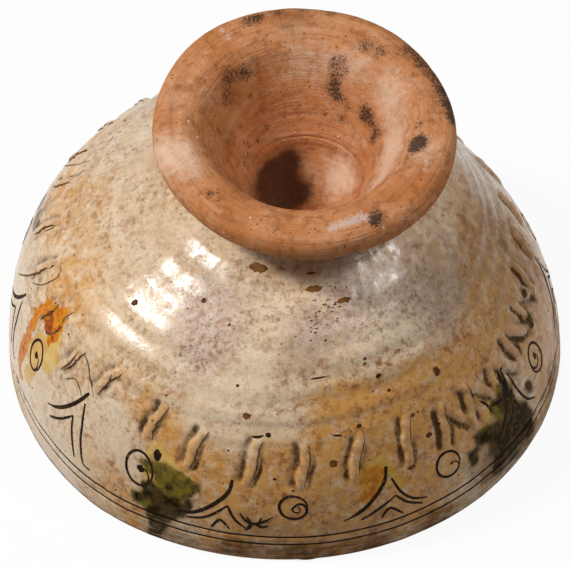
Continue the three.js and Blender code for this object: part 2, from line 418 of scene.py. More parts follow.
def outside_relief(azimuth, path):
    """Relief in mm and the masks that go with it, at azimuths and path lengths of the outside."""
    relief, finger, scoop = bar_relief(outside.turned(azimuth, path))
    line = np.zeros_like(path)
    for line_path in line_paths:
        off = np.abs(path - line_path - line_wander(azimuth, path))
        line = np.maximum(line, np.clip(1 - off / LINE_HALF_WIDTH, 0, 1))
    marks = rim_mark(azimuth, path, *RIM_FLAT) + rim_mark(azimuth, path, *RIM_LUMP)
    relief = relief + lumps(azimuth, path, GLAZE_LUMPS) + throwing_rings(azimuth, path)
    relief = relief - LINE_DEPTH * line + marks
    return np.clip(relief, RELIEF_LOW, RELIEF_HIGH), finger, scoop, line


def on_outside(azimuth, path, lift=0.0):
    """Points on the finished outside: the outline at the path length, moved along its normal by the
    relief and the lift, turned to the azimuth and settled."""
    return settle(outside.turned(azimuth, path, outside_relief(azimuth, path)[0] + lift))


probe = outside_relief(np.linspace(-180, 180, 2000), np.full(2000, 30.0))[0]
print(f"relief along the band: {probe.min():.2f} to {probe.max():.2f} mm")

# %% [markdown]
# ## Meshes from grids
# A turned piece is a grid of rows along the outline and columns round the axis. Rows that lie on the axis
# shrink to a point, and a fine grid is sewn to one with half its columns by three triangles a stitch.

# %% Faces of grids
def ring_faces(first, second, columns):
    """Quads between two rows of vertices, each given by its first index."""
    here = np.arange(columns)
    after = (here + 1) % columns
    return np.stack([first + here, first + after, second + after, second + here], axis=-1)


def band_faces(first, rows, columns):
    """Blocks of quads between each row and the next, for rows that follow on from a first index."""
    return [ring_faces(first + i * columns, first + (i + 1) * columns, columns) for i in range(rows - 1)]


def stitch_faces(fine, coarse, columns):
    """Triangles between a row of 2 * columns vertices and a row of columns vertices above it."""
    here = np.arange(columns)
    after = (here + 1) % columns
    a, b, c = fine + 2 * here, fine + 2 * here + 1, fine + 2 * after
    low, high = coarse + here, coarse + after
    return np.vstack([np.stack(t, axis=-1) for t in ((a, b, low), (b, high, low), (b, c, high))])


def fan_faces(row, pole, columns, upward):
    """Triangles from a row to one vertex."""
    here = row + np.arange(columns)
    after = row + (np.arange(columns) + 1) % columns
    ends = np.full(columns, pole)
    return np.stack([here, after, ends] if upward else [after, here, ends], axis=-1)


print("a ring of three columns:", ring_faces(0, 3, 3).tolist())

# %% Grids of points and the mesh
def ring_azimuths(columns):
    """Azimuths of evenly spaced columns from -180 degrees on."""
    return np.arange(columns) * 360 / columns - 180


def grid_points(azimuths, paths):
    """Every azimuth with every path length, row by row."""
    path, azimuth = np.meshgrid(paths, azimuths, indexing="ij")
    return azimuth.ravel(), path.ravel()


def make_piece(name, vertices, faces, attributes=None):
    """A shaded mesh object in metres, from vertices in mm and a list of arrays of faces."""
    mesh = bpy.data.meshes.new(name)
    listed = [row for block in faces for row in block.tolist()]
    mesh.from_pydata((np.asarray(vertices) * MM).tolist(), [], listed)
    for key, values in (attributes or {}).items():
        kind, slot = ("FLOAT_VECTOR", "vector") if np.ndim(values) == 2 else ("FLOAT", "value")
        layer = mesh.attributes.new(key, kind, "POINT")
        layer.data.foreach_set(slot, np.asarray(values, np.float32).ravel())
    mesh.shade_smooth()
    mesh.validate()
    piece = bpy.data.objects.new(name, mesh)
    bpy.context.collection.objects.link(piece)
    triangles = sum(len(polygon) - 2 for polygon in listed)
    print(f"{name}: {len(vertices)} vertices, {triangles} triangles")
    return piece


print("azimuths of four columns:", ring_azimuths(4))

# %% [markdown]
# ## Where the glaze has which tone
# The glaze is cream where it is clean, tan where iron bled through, lavender grey where it is worn and
# olive where copper reached it; a few of the ivory patches are a painted highlight. Each tone is a list
# of soft patches, given by azimuth, height, size and strength, and a material later gives them ragged
# edges.

# %% Tone patches
TONES = {
    # azimuth, height, size and strength of each patch
    "tan": [
        (-100, 24, 14, 0.85), (-82, 30, 13, 0.8), (-70, 26, 14, 0.85), (-55, 30, 16, 0.8),
        (-70, 42, 12, 0.55), (-56, 44, 12, 0.5), (-40, 40, 16, 0.6), (-118, 38, 9, 0.8), (-108, 32, 9, 0.7),
        (-128, 44, 9, 0.4), (-150, 52, 10, 0.35), (-165, 55, 12, 0.4), (-140, 40, 8, 0.4),
        (-10, 42, 18, 0.9), (-4, 24, 16, 0.9), (15, 30, 26, 0.7), (60, 40, 24, 0.5), (100, 25, 24, 0.5),
        (140, 45, 24, 0.45), (176, 54, 13, 0.45), (-58, 52, 8, 0.5), (-126, 14, 12, 0.5),
        (-20, 15, 14, 0.7), (-158, 46, 9, 0.4), (165, 46, 10, 0.5), (-85, 16, 10, 0.6), (-76, 46, 10, 0.6),
        (-20, 50, 12, 0.8), (-40, 28, 10, 0.5), (-8, 60, 12, 0.6), (-64, 14, 8, 0.5), (-40, 38, 12, 0.4),
        (6, 60, 10, 0.6), (-5, 34, 8, 0.4), (-92, 22, 10, 0.5), (-76, 20, 10, 0.4), (-88, 36, 8, 0.4),
        (-120, 6, 10, 0.5), (-100, 5, 12, 0.7), (-80, 5, 12, 0.8), (-60, 8, 10, 0.6), (-136, 22, 9, 0.4),
    ],
    "lavender": [
        (-112, 57, 11, 0.8), (-119, 64, 11, 0.7), (-84, 62, 9, 0.75), (-66, 64, 12, 0.6),
        (-46, 60, 14, 0.6), (-34, 52, 10, 0.35), (-70, 70, 8, 0.6), (-22, 64, 12, 0.35), (20, 55, 18, 0.5),
        (80, 60, 18, 0.5), (150, 62, 12, 0.3),
    ],
    "olive": [
        (-40, 20, 13, 0.5), (-22, 36, 14, 0.4), (-3, 50, 14, 0.4), (-34, 10, 12, 0.6), (-95, 13, 10, 0.5),
        (-72, 11, 12, 0.45), (-118, 12, 9, 0.35), (40, 20, 24, 0.35), (172, 42, 8, 0.4), (-38, 64, 11, 0.5),
        (-83, 57, 10, 0.4), (-30, 56, 9, 0.35), (-18, 60, 9, 0.3), (-52, 14, 9, 0.4), (6, 60, 10, 0.4),
        (-15, 52, 14, 0.4), (-4, 33, 11, 0.5), (-37, 57, 9, 0.4), (-86, 59, 8, 0.3), (8, 44, 12, 0.4),
    ],
    # ivory: pale clean glaze, but the patches from -66 to -50 degrees and 52 to 68 mm high are a painted
    # highlight, where the right lamp's reflection falls on the shoulder
    "ivory": [
        (-98, 66, 7, 0.9), (-98, 58, 7, 0.7), (-100, 48, 9, 0.6), (-126, 30, 11, 0.75), (-140, 25, 13, 0.6),
        (-150, 60, 12, 0.4), (-172, 62, 11, 0.4), (150, 62, 14, 0.6), (-107, 44, 9, 0.6), (-88, 43, 7, 0.5),
        (-142, 5, 12, 0.9), (-155, 8, 12, 0.8), (-132, 40, 9, 0.5), (-160, 22, 12, 0.6), (-2, 46, 7, 0.4),
        (-66, 57, 7, 1), (-58, 61, 7, 1), (-50, 56, 6, 0.9), (-60, 68, 6, 0.6), (-60, 52, 6, 0.7),
        (-51, 54, 5, 0.9), (-84, 45, 6, 0.6),
    ],
    "umber": [
        (-114, 3, 9, 0.6), (-100, 2, 8, 0.8), (-86, 1, 9, 0.95), (-72, 2, 8, 0.9), (-58, 4, 7, 0.8),
        (-44, 9, 8, 0.7), (-30, 6, 9, 0.65), (-16, 8, 9, 0.65), (-3, 12, 8, 0.5), (-10, 36, 5, 0.4),
        (1, 28, 8, 0.5), (-6, 44, 8, 0.45), (-13, 60, 8, 0.4), (2, 54, 9, 0.4), (6, 40, 9, 0.4),
        (30, 6, 14, 0.4), (90, 5, 14, 0.4), (168, 44, 5, 0.4), (-176, 40, 5, 0.3), (-78, 28, 4, 0.3),
        (-64, 33, 4, 0.3), (-90, 33, 3, 0.25),
    ],
}


def soft_patches(points, dabs):
    """Sum of strength times a bell curve of the distance to each dab's middle, held to 1."""
    total = np.zeros(len(points))
    for middle, size, strength in dabs:
        total += strength * bell(np.linalg.norm(points - middle, axis=1), 0, size)
    return np.clip(total, 0, 1)


def dome_patches(points, listed):
    """Soft patches given by azimuth, height, size and strength."""
    return soft_patches(points, [(round_point(a, h), size, strength) for a, h, size, strength in listed])


print("patches:", {key: len(listed) for key, listed in TONES.items()})

# %% [markdown]
# ## Splashes of oxide
# Copper green, iron orange and amber were dabbed on and ran before the firing. A splash is a chain of
# round dabs, given by azimuth, height and size. Its mask is 1 inside, and its edge is roughened by noise.

# %% Splashes
SPLASHES = {
    # name: (softness of the edge, dabs given by azimuth, height and size)
    "yellow": (0.9, [
        (-159.6, 29.5, 3), (-156.6, 34.8, 2.6), (-152.7, 37.2, 2.6), (-151, 39.9, 2), (-150.1, 35.5, 2.6),
        (-151, 32, 2.2), (-156.5, 25.5, 3), (-154.5, 31, 2.6), (-157.4, 20, 2.6), (-116.4, 31, 2.6),
        (-114.5, 27.5, 3.6), (-109.8, 26, 2.6), (-117.5, 24, 3.2), (-112.5, 21, 3.6), (-70.4, 29.4, 2.2),
        (-67.4, 29.6, 2), (-65.8, 27, 1.8), (-66, 23.5, 1.6), (-63.5, 22.4, 1.4), (-37.5, 27, 1.9),
        (-39.5, 25.7, 1.5), (-36, 24.3, 1.5),
    ]),
    "orange": (0.4, [
        (-161.6, 40.4, 1.6), (-160.2, 42.6, 1.8), (-157.6, 44.2, 2), (-154.8, 45.8, 1.8), (-153, 45.4, 1.6),
        (-153, 43.4, 1.8), (-154.6, 42.2, 2), (-156.4, 41.6, 2.2), (-157.8, 40.2, 1.6), (-154.4, 40.2, 1.4),
        (-153.4, 38.8, 1.2), (-152.2, 40.2, 1), (-153.2, 37.2, 0.9), (-162.4, 37.8, 1.8), (-161.8, 34.6, 2),
        (-161.9, 31, 2.2), (-162.2, 27.2, 2.3), (-162.6, 23.4, 2.3), (-162.4, 19.6, 2.2), (-161, 16.4, 1.8),
    ]),
    "russet": (0.4, [
        (-156.8, 39.3, 1.2), (-154.9, 40.2, 1.3), (-153.4, 41.6, 1.1), (-152.8, 43.2, 0.9),
        (-157.7, 42.5, 0.9), (-156.1, 42.1, 1), (-155.2, 41.2, 0.9), (-153.2, 39.2, 0.7), (-161.8, 33, 0.8),
        (-162.4, 24.6, 0.8), (-167.5, 7.8, 1.5), (-163.5, 9.8, 1.4), (-161.1, 9.1, 1),
    ]),
    "amber": (0.6, [
        (-70.8, 27.6, 2.1), (-71, 24.4, 2.6), (-71.8, 21.2, 2.4), (-69.2, 24.8, 2), (-68.4, 28.6, 1.5),
        (-66.4, 27.4, 1.4),
    ]),
    "green": (0.9, [
        (-115.6, 26.6, 3), (-112.4, 24, 3.2), (-109.4, 25.4, 2.2), (-108.8, 23.2, 2), (-111, 20.5, 2.8),
        (-114.6, 20.2, 3), (-118.4, 26, 2), (-117.8, 15.6, 3), (-120, 14, 2.4), (-113.4, 15.2, 3),
        (-37.4, 26.4, 2), (-34, 29, 2.2), (-36.4, 23.4, 2.2), (-42, 21.5, 2.4), (163, 37.4, 2.8),
        (168.4, 39.5, 2.6), (158, 34.6, 2.2), (172, 41, 2),
    ]),
    "smoke": (0.95, [
        (-120.4, 15.2, 1.7), (-118.4, 17.2, 1.6), (-117.6, 11.4, 2), (-115.4, 14.4, 2.3), (-112.2, 17.6, 2),
        (-114.6, 10, 2), (-116.3, 6.4, 1.9), (-116.9, 2.6, 1.8), (-119, 19.4, 1), (-113.4, 12.4, 1.8),
        (-111.4, 15.2, 2.2), (-109.4, 18, 1.4), (-117.5, 20.5, 1.5), (-115.6, 18.4, 1.8), (-113.4, 22, 1.1),
        (-43.8, 21.1, 2.2), (-40.9, 19.6, 2.5), (-37.4, 18.4, 3), (-36.1, 13.5, 3.2), (-40.6, 14.6, 2.8),
        (-38.4, 10.2, 3), (-33.5, 15.6, 3), (-31.1, 17.4, 2.5), (-33, 9.5, 2.8), (-32.4, 27, 2.4),
        (-33.9, 24.6, 2.5), (-32.6, 21, 2.8), (-25.2, 19.9, 1.9), (-29, 13, 2.8), (-46.4, 18.8, 1.5),
        (-46.9, 16, 1.4), (-41, 6.6, 2.5), (-36, 5.6, 2.8), (-29, 7, 2.5), (-14, 31, 2.2), (-10, 36, 1.5),
    ]),
}
EDGE_ROUGH = 0.7
FIRST_SPLASH_SEED = 50


def splash(points, azimuth, dabs, soft, seed):
    """Sum over the dabs of 2 ** -((distance / radius) squared), so that close dabs flow together, stepped
    from 0 to 1 about the value 0.5. The distances are roughened by noise of two sizes."""
    rough = EDGE_ROUGH * lumps(azimuth, points[:, 2], [(1.0, 150, 3.0, seed), (0.6, 300, 1.4, seed + 1)])
    total = np.zeros(len(points))
    for a, height, size in dabs:
        distance = np.linalg.norm(points - round_point(a, height), axis=1) + rough
        total += 2 ** -((distance / size) ** 2)
    return smooth_step(total, 0.5 - soft / 2, soft)


print("splashes:", {key: len(dabs) for key, (soft, dabs) in SPLASHES.items()})

# %% [markdown]
# ## The glazed outside
# The coat is a closed shell. Its face has half-millimetre cells in the band of bars, where the relief is
# fine, and cells twice as wide above. The back is plain and coarse, because only the slip touches it.

# %% Rows of the outside
FINE_COLUMNS = 900
COARSE_COLUMNS = FINE_COLUMNS // 2
BACK_ROWS = 8
BAND_START, SEWING_HEIGHT, SHOULDER_END = 23.0, 46.0, 68.0
EDGE_WANDER, EDGE_FADE = 0.9, 5.0
BACK_START, BACK_END = 0.5, 0.4
WORN_UP_TO, WORN_FADE = 4.5, 4.0
LINE_OFFSETS = np.array([-0.75, -0.45, -0.2, 0.0, 0.2, 0.45, 0.75])
LINE_CLEARANCE = 1.3
GLAZE_STOPS_SHORT = 0.9
glaze_top = outside.path_at_height(neck_top - COAT_DEPTH - GLAZE_STOPS_SHORT)

path_of = outside.path_at_height
above_edge = np.linspace(path_of(BARE_RIM), line_paths[0] - LINE_CLEARANCE, 6)
across_lines = (line_paths[:, None] + LINE_OFFSETS).ravel()
below_band = np.linspace(line_paths[-1] + LINE_CLEARANCE, path_of(BAND_START - 0.5), 12)
in_band = np.linspace(path_of(BAND_START), path_of(SEWING_HEIGHT), 48)
fine_rows = np.sort(np.r_[above_edge, across_lines, below_band, in_band])
shoulder = np.linspace(path_of(SEWING_HEIGHT) + 0.8, path_of(SHOULDER_END), 34)
coarse_rows = np.r_[shoulder, np.linspace(path_of(SHOULDER_END + 0.6), glaze_top, 16)]
print(len(fine_rows), "fine rows,", len(coarse_rows), "coarse rows")

# %% Make the glazed outside
def glaze_attributes(azimuth, path, finger, scoop, line):
    """Every mask that the glaze's material reads, at each vertex."""
    points = outside.turned(azimuth, path)
    made = {key: dome_patches(points, listed) for key, listed in TONES.items()}
    for number, (key, (soft, dabs)) in enumerate(SPLASHES.items()):
        made[key] = splash(points, azimuth, dabs, soft, FIRST_SPLASH_SEED + 3 * number)
    made["finger"], made["scoop"], made["line"] = finger, scoop, line
    made["worn"] = 1 - smooth_step(points[:, 2], WORN_UP_TO, WORN_FADE)
    made["turned"] = unrolled(azimuth, path)
    return made


def glazed_outside():
    """Face of fine and coarse rows, sewn together, closed by a plain back."""
    blocks, masks = [], []
    for columns, rows in ((FINE_COLUMNS, fine_rows), (COARSE_COLUMNS, coarse_rows)):
        azimuth, path = grid_points(ring_azimuths(columns), rows)
        path = path + line_wander(azimuth, path)
        near_top = smooth_step(path, glaze_top - EDGE_FADE, EDGE_FADE)
        path = path + near_top * EDGE_WANDER * ring_noise(azimuth, np.zeros_like(azimuth), 40, 1.0, 31)
        *_, finger, scoop, line = outside_relief(azimuth, path)
        blocks.append(on_outside(azimuth, path))
        masks.append(glaze_attributes(azimuth, path, finger, scoop, line))
    back_rows = np.linspace(fine_rows[0] + BACK_START, glaze_top - BACK_END, BACK_ROWS)
    azimuth, path = grid_points(ring_azimuths(COARSE_COLUMNS), back_rows)
    blocks.append(settle(outside.turned(azimuth, path, -GLAZE_DEPTH)))
    masks.append({key: np.zeros_like(values[: len(azimuth)]) for key, values in masks[0].items()})
    coarse, back, end = np.cumsum([len(block) for block in blocks])
    faces = band_faces(0, len(fine_rows), FINE_COLUMNS)
    faces.append(stitch_faces(coarse - FINE_COLUMNS, coarse, COARSE_COLUMNS))
    faces += band_faces(coarse, len(coarse_rows), COARSE_COLUMNS)
    faces.append(ring_faces(back - COARSE_COLUMNS, end - COARSE_COLUMNS, COARSE_COLUMNS))
    for first in range(back, end - COARSE_COLUMNS, COARSE_COLUMNS):
        faces.append(ring_faces(first + COARSE_COLUMNS, first, COARSE_COLUMNS))
    faces.append(stitch_faces(0, back, COARSE_COLUMNS)[:, ::-1])
    attributes = {key: np.concatenate([part[key] for part in masks]) for key in masks[0]}
    return make_piece("glazed_outside", np.vstack(blocks), faces, attributes)


outside_piece = glazed_outside()

# %% [markdown]
# ## Cut ornament
# The point that cut the lines left furrows where dark glaze gathered. Each line is a thin closed ribbon
# that follows the glazed surface, hollow along its middle and tapering at its ends. It is carried along
# a smooth curve through a few points, given by azimuth and height. The wide dark lines are one piece and
# the thin brown ones another.

# %% Curves on the surface
RIBBON_STEP = 0.35
NORMAL_SQUASH = np.array([1, 1, (RIM_RADIUS / CROWN_HEIGHT) ** 2])


def smooth_curve(controls):
    """Points every RIBBON_STEP along a Catmull-Rom curve through (azimuth, height) control points."""
    controls = np.asarray(controls, float)
    ends = np.vstack([2 * controls[0] - controls[1], controls, 2 * controls[-1] - controls[-2]])
    t = np.linspace(0, 1, 30, endpoint=False)[:, None]
    pieces = []
    for p0, p1, p2, p3 in zip(ends[:-3], ends[1:-2], ends[2:-1], ends[3:]):
        bend = 2 * p0 - 5 * p1 + 4 * p2 - p3
        pieces.append(0.5 * (2 * p1 + (p2 - p0) * t + bend * t**2 + (3 * p1 - p0 - 3 * p2 + p3) * t**3))
    dense = np.vstack([*pieces, controls[-1]])
    points = round_point(dense[:, 0], dense[:, 1])
    lengths = np.r_[0, np.cumsum(np.linalg.norm(np.diff(points, axis=0), axis=1))]
    even = np.linspace(0, lengths[-1], max(int(lengths[-1] / RIBBON_STEP), 4) + 1)
    return np.stack([np.interp(even, lengths, column) for column in points.T], axis=-1)


def on_surface(points, lift):
    """Puts points that lie near the round form on the finished outside, with a lift."""
    return on_outside(azimuth_of(points), outside.path_at_height(points[:, 2]), lift)


print("a curve 12 degrees long has", len(smooth_curve([(-96, 30), (-90, 32), (-84, 30)])), "points")

# %% Ribbons and dabs
RIBBON_LIFT = 0.07
RIBBON_SINK = 0.4
SECTION = np.array([-0.5, -0.28, 0.0, 0.28, 0.5])
SECTION_LIFT = np.array([0.0, -0.015, -0.03, -0.015, 0.0])
UNDERSIDE = (0.35, -0.35)
START_TAPER, END_TAPER = 0.25, 0.3
DAB_SHARES = (1.0, 0.8, 0.45)
DAB_UNEVEN, DAB_EDGE_DROP = 0.16, 0.04


class Strokes:
    """Gathers closed ribbons and dabs into one mesh."""

    def __init__(self):
        self.vertices, self.faces, self.count = [], [], 0

    def add(self, vertices, faces):
        """Takes in vertices, and faces whose numbers go on from the vertices taken in before."""
        self.vertices.append(vertices)
        self.faces += [(np.asarray(block) + self.count) for block in faces]
        self.count += len(vertices)

    def ribbon(self, controls, width, thin_start=0.4, thin_end=0.4, lift=RIBBON_LIFT):
        """A hollow-topped ribbon: the section's points are set off sideways from the curve by its share of
        the width, which is thin_start and thin_end of itself at the ends."""
        line = smooth_curve(controls)
        steps = len(line)
        along = np.gradient(line, axis=0)
        along /= np.linalg.norm(along, axis=1, keepdims=True)
        out = line * NORMAL_SQUASH
        out /= np.linalg.norm(out, axis=1, keepdims=True)
        sideways = np.cross(along, out)
        t = np.linspace(0, 1, steps)
        widening = thin_start + (1 - thin_start) * smooth_step(t, 0, START_TAPER)
        narrowing = thin_end + (1 - thin_end) * smooth_step(1 - t, 0, END_TAPER)
        shares = np.r_[SECTION, UNDERSIDE]
        lifts = np.r_[SECTION_LIFT + lift, -RIBBON_SINK, -RIBBON_SINK]
        offsets = (np.minimum(widening, narrowing) * width)[:, None] * shares
        points = line[:, None, :] + offsets[..., None] * sideways[:, None, :]
        placed = on_surface(points.reshape(-1, 3), np.tile(lifts, steps))
        ring = len(shares)
        caps = [np.arange(ring)[None, ::-1], (np.arange(ring) + (steps - 1) * ring)[None, :]]
        self.add(placed, band_faces(0, steps, ring) + caps)

    def dot(self, azimuth, height, wide, tall, seed=0, hollow=0.05, lift=RIBBON_LIFT, sides=14):
        """A round or uneven dab: rings of points at shares of its size, hollow in the middle."""
        middle = round_point(azimuth, height)
        a = math.radians(azimuth)
        right = np.array([-math.sin(a), math.cos(a), 0])
        out = middle * NORMAL_SQUASH
        up = np.cross(out / np.linalg.norm(out), right)
        turn = np.arange(sides) * 2 * np.pi / sides
        uneven = 1 + DAB_UNEVEN * np.random.default_rng(seed).uniform(-1, 1, sides)
        rings = []
        for share in DAB_SHARES:
            across, along = wide * (share * uneven) * np.cos(turn), tall * (share * uneven) * np.sin(turn)
            rings.append(middle + across[:, None] * right + along[:, None] * up)
        ring_lifts = np.repeat([lift - DAB_EDGE_DROP, lift, lift - hollow * 0.8], sides)
        lifts = np.r_[-RIBBON_SINK, ring_lifts, lift - hollow]
        placed = on_surface(np.vstack([middle, *rings, middle]), lifts)
        bottom, top = fan_faces(1, 0, sides, False), fan_faces(1 + 2 * sides, 1 + 3 * sides, sides, True)
        self.add(placed, [bottom, *band_faces(1, len(DAB_SHARES), sides), top])

    def make(self, name):
        """The mesh object of all that was gathered."""
        return make_piece(name, np.vstack(self.vertices), self.faces)


print(f"a ribbon's section has {len(SECTION) + len(UNDERSIDE)} points")

# %% The eyes: spirals cut with one stroke
EYES = [
    # azimuth, height, half width, half height, start angle, turns, inner share, shift share
    (-156.0, 30.0, 3.4, 4.7, 70, 1.45, 0.1, 0.05),
    (-120.4, 24.3, 4.2, 5.3, 80, 1.45, 0.1, 0.08),
    (-87.3, 21.1, 3.9, 3.7, 56, 2.3, 0.28, 0.18),
    (-52.9, 20.8, 3.9, 3.9, 38, 1.25, 0.15, 0.16),
    (-19.1, 23.1, 3.8, 4.3, 110, 1.9, 0.22, 0.06),
    (18.0, 24.0, 3.9, 4.2, 70, 1.45, 0.12, 0.1),
    (55.0, 25.5, 3.8, 4.1, 60, 2.2, 0.26, 0.16),
    (92.0, 27.0, 4.0, 4.3, 80, 1.4, 0.12, 0.1),
    (130.0, 28.5, 3.8, 4.4, 90, 1.8, 0.22, 0.12),
    (167.0, 29.5, 3.8, 4.5, 50, 1.5, 0.14, 0.12),
]
LINE_WIDTH = 0.8
PUPILS = {  # number of the eye: half width, half height
    0: (0.9, 1.1), 1: (1.2, 1.2), 3: (0.5, 0.45), 4: (0.7, 1.2), 5: (0.6, 0.7), 7: (0.7, 0.8), 9: (0.6, 0.8),
}


def spiral(azimuth, height, wide, tall, start, turns, inner, shift):
    """Controls of a spiral cut clockwise from the inside: its radius grows from the inner share to the
    whole in one step, while its middle moves from the lower right to the eye's own middle."""
    t = np.linspace(0, 1, 34)
    angle = np.radians(start) - t * 2 * np.pi * turns
    whole = 1 - 1.02 / turns
    begin = max(0, whole - 0.45 / turns)
    out = smooth_step(t, begin, whole - begin)
    grow = inner + (1 - inner) * out
    degrees_per_mm = 180 / math.pi / np.linalg.norm(round_point(azimuth, height)[:2])
    across = wide * (grow * np.cos(angle) + shift * (1 - out))
    up = tall * (grow * np.sin(angle) - shift * (1 - out))
    return np.stack([azimuth + across * degrees_per_mm, height + up], axis=-1)


ornament = Strokes()
for number, eye in enumerate(EYES):
    line = spiral(*eye)
    ornament.ribbon(line, LINE_WIDTH)
    if number in PUPILS:
        wide, tall = PUPILS[number]
        ornament.dot(*line[0], wide, tall, seed=number, lift=0.1)
print(len(EYES), "eyes,", len(PUPILS), "of them with a pupil")

# %% The leaf strokes between the eyes
ARC_WIDTH = 1.15
GROUPS = {
    # name: (wide arcs, narrow cuts)
    "left": (
        [[(-136.3, 36.4), (-138.2, 32.8), (-140.7, 28.9), (-144.2, 24.7), (-147.7, 22.2)]],
        [
            [(-146.5, 19), (-143, 22), (-139.2, 26.8)],
            [(-139.2, 26.8), (-138.9, 22.1), (-137.4, 13.9)],
            [(-136.6, 33), (-136.2, 26.1), (-135.9, 20.7), (-134.7, 14.5), (-132.7, 13.9)],
        ],
    ),
    "middle": (
        [[(-99.5, 28.9), (-100.5, 25.1), (-103.4, 20.8), (-107.8, 16.4), (-112.4, 14.6)]],
        [
            [(-109.6, 13.7), (-105.4, 15.6), (-100.9, 20.6)],
            [(-100.9, 20.8), (-99.6, 16.4), (-97.6, 13.6)],
            [(-104.6, 12.1), (-102.6, 15.3), (-100.8, 12.4)],
        ],
    ),
    "right": (
        [[(-66.5, 28.6), (-67.6, 24.6), (-70.4, 20.4), (-73.6, 17), (-77.6, 14.6)]],
        [
            [(-74, 14), (-70, 16.2), (-66, 19)],
            [(-66, 19), (-63.8, 15.4), (-60.6, 12.6)],
            [(-66, 24.6), (-64.7, 19.6), (-62.4, 15.8), (-59.4, 14)],
            [(-69.8, 12.9), (-67.7, 15.4), (-65.2, 12.2)],
        ],
    ),
    "far right": (
        [[(-30.5, 33), (-32, 27), (-35, 21), (-39.5, 15.6)]],
        [
            [(-38, 13.6), (-33.6, 18.6), (-31.2, 22.4)],
            [(-31.2, 22.4), (-30, 17), (-27.6, 13.4)],
            [(-29.6, 30), (-29.2, 24), (-27.4, 18), (-24.6, 14.6)],
            [(-35, 12.4), (-32.6, 15.4), (-30.4, 12.4)],
        ],
    ),
}
COPIES = {"right": (0.5, 37.0, 111.0), "middle": (74.0, 149.0), "left": (-173.5,)}
GROUP_MIDDLES = {"left": -139.7, "middle": -105.4, "right": -71.6}
GROUP_FOOT = 14
COPY_RISE, COPY_SIZE = (0, 0.8), (0.94, 1.02)


def cut_group(group, turn=0.0, rise=0.0, size=1.0):
    """Cuts one group of strokes, turned round the bowl, stretched up from its foot and raised."""
    arcs, cuts = (
        [[(a + turn, GROUP_FOOT + (h - GROUP_FOOT) * size + rise) for a, h in stroke] for stroke in strokes]
        for strokes in group
    )
    for stroke in arcs:
        ornament.ribbon(stroke, ARC_WIDTH, 0.75, 0.3)
    for stroke in cuts:
        ornament.ribbon(stroke, LINE_WIDTH, 0.7, 0.6)


for group in GROUPS.values():
    cut_group(group)
for name, middles in COPIES.items():
    for middle in middles:
        rise, size = ornament_random.uniform(*COPY_RISE), ornament_random.uniform(*COPY_SIZE)
        cut_group(GROUPS[name], middle - GROUP_MIDDLES[name], rise, size)
print(len(GROUPS) + sum(len(m) for m in COPIES.values()), "groups of strokes")

# %% [markdown]
# ## Thin shadow edges and chance marks
# Beside each finger runs a thin brown edge, where the tool left the slip, and it is partly painted shadow
# along the finger's right side. Here and there the glaze is cracked or scratched. They are the same kind
# of ribbon, only thinner, so that the large forms stay calm.

# %% Thin dark edges along the fingers, partly painted shadow
SHADOW_EDGE_WIDTH = 0.38
SHADOW_EDGE_OFF, SHADOW_EDGE_RAGGED = 1.3, 0.2
BAND_RADIUS = 72.0
shadow_edge_random = np.random.default_rng(5)


def finger_shadow_edge(bar, number):
    """A thin ragged line just to the right of a finger, partly painted shadow, over most of its length: the
    straight line of the bar, moved sideways by the finger's wander and a seeded raggedness."""
    a0, h0, a1, h1 = bar
    degrees_per_mm = 180 / math.pi / BAND_RADIUS
    t = np.linspace(0.06, 0.95, 16)
    off = SHADOW_EDGE_OFF + (finger_wander(t, number) + shadow_edge_random.uniform(-SHADOW_EDGE_RAGGED, SHADOW_EDGE_RAGGED, len(t)))
    return np.stack([a0 + (a1 - a0) * t + off * degrees_per_mm, h0 + (h1 - h0) * t], axis=-1)


thin_marks_and_shadow_edges = Strokes()
for number, bar in enumerate(bars):
    thin_marks_and_shadow_edges.ribbon(finger_shadow_edge(bar, number), SHADOW_EDGE_WIDTH, 0.5, 0.3, 0.1)
print(len(bars), "thin edges")

# %% Cracks and chance marks
MARKS = [
    # the branching crack beside the middle eye
    ([(-98.4, 18.8), (-97.4, 16.4), (-95.6, 15.4), (-93.4, 16.6), (-91.8, 18.0)], 0.9),
    ([(-97.0, 17.6), (-96.4, 15.0), (-97.6, 12.6)], 1.0),
    ([(-95.8, 15.6), (-94.2, 14.4), (-92.8, 14.9)], 0.8),
    ([(-94.6, 16.2), (-94.0, 17.8)], 0.5),
    # marks at the tops of the bars
    ([(-95.2, 41.0), (-93.6, 41.1), (-92.2, 41.5)], 0.7),
    ([(-76.4, 40.2), (-74.4, 39.8)], 0.5),
    # strokes in the dark stain on the right
    ([(-31.6, 33.0), (-32.6, 28.5), (-33.6, 25.0)], 1.3),
    ([(-37.6, 27.0), (-35.4, 26.0), (-33.4, 26.4)], 1.0),
    ([(-40.0, 31.0), (-38.8, 28.6), (-38.2, 25.4)], 0.8),
]
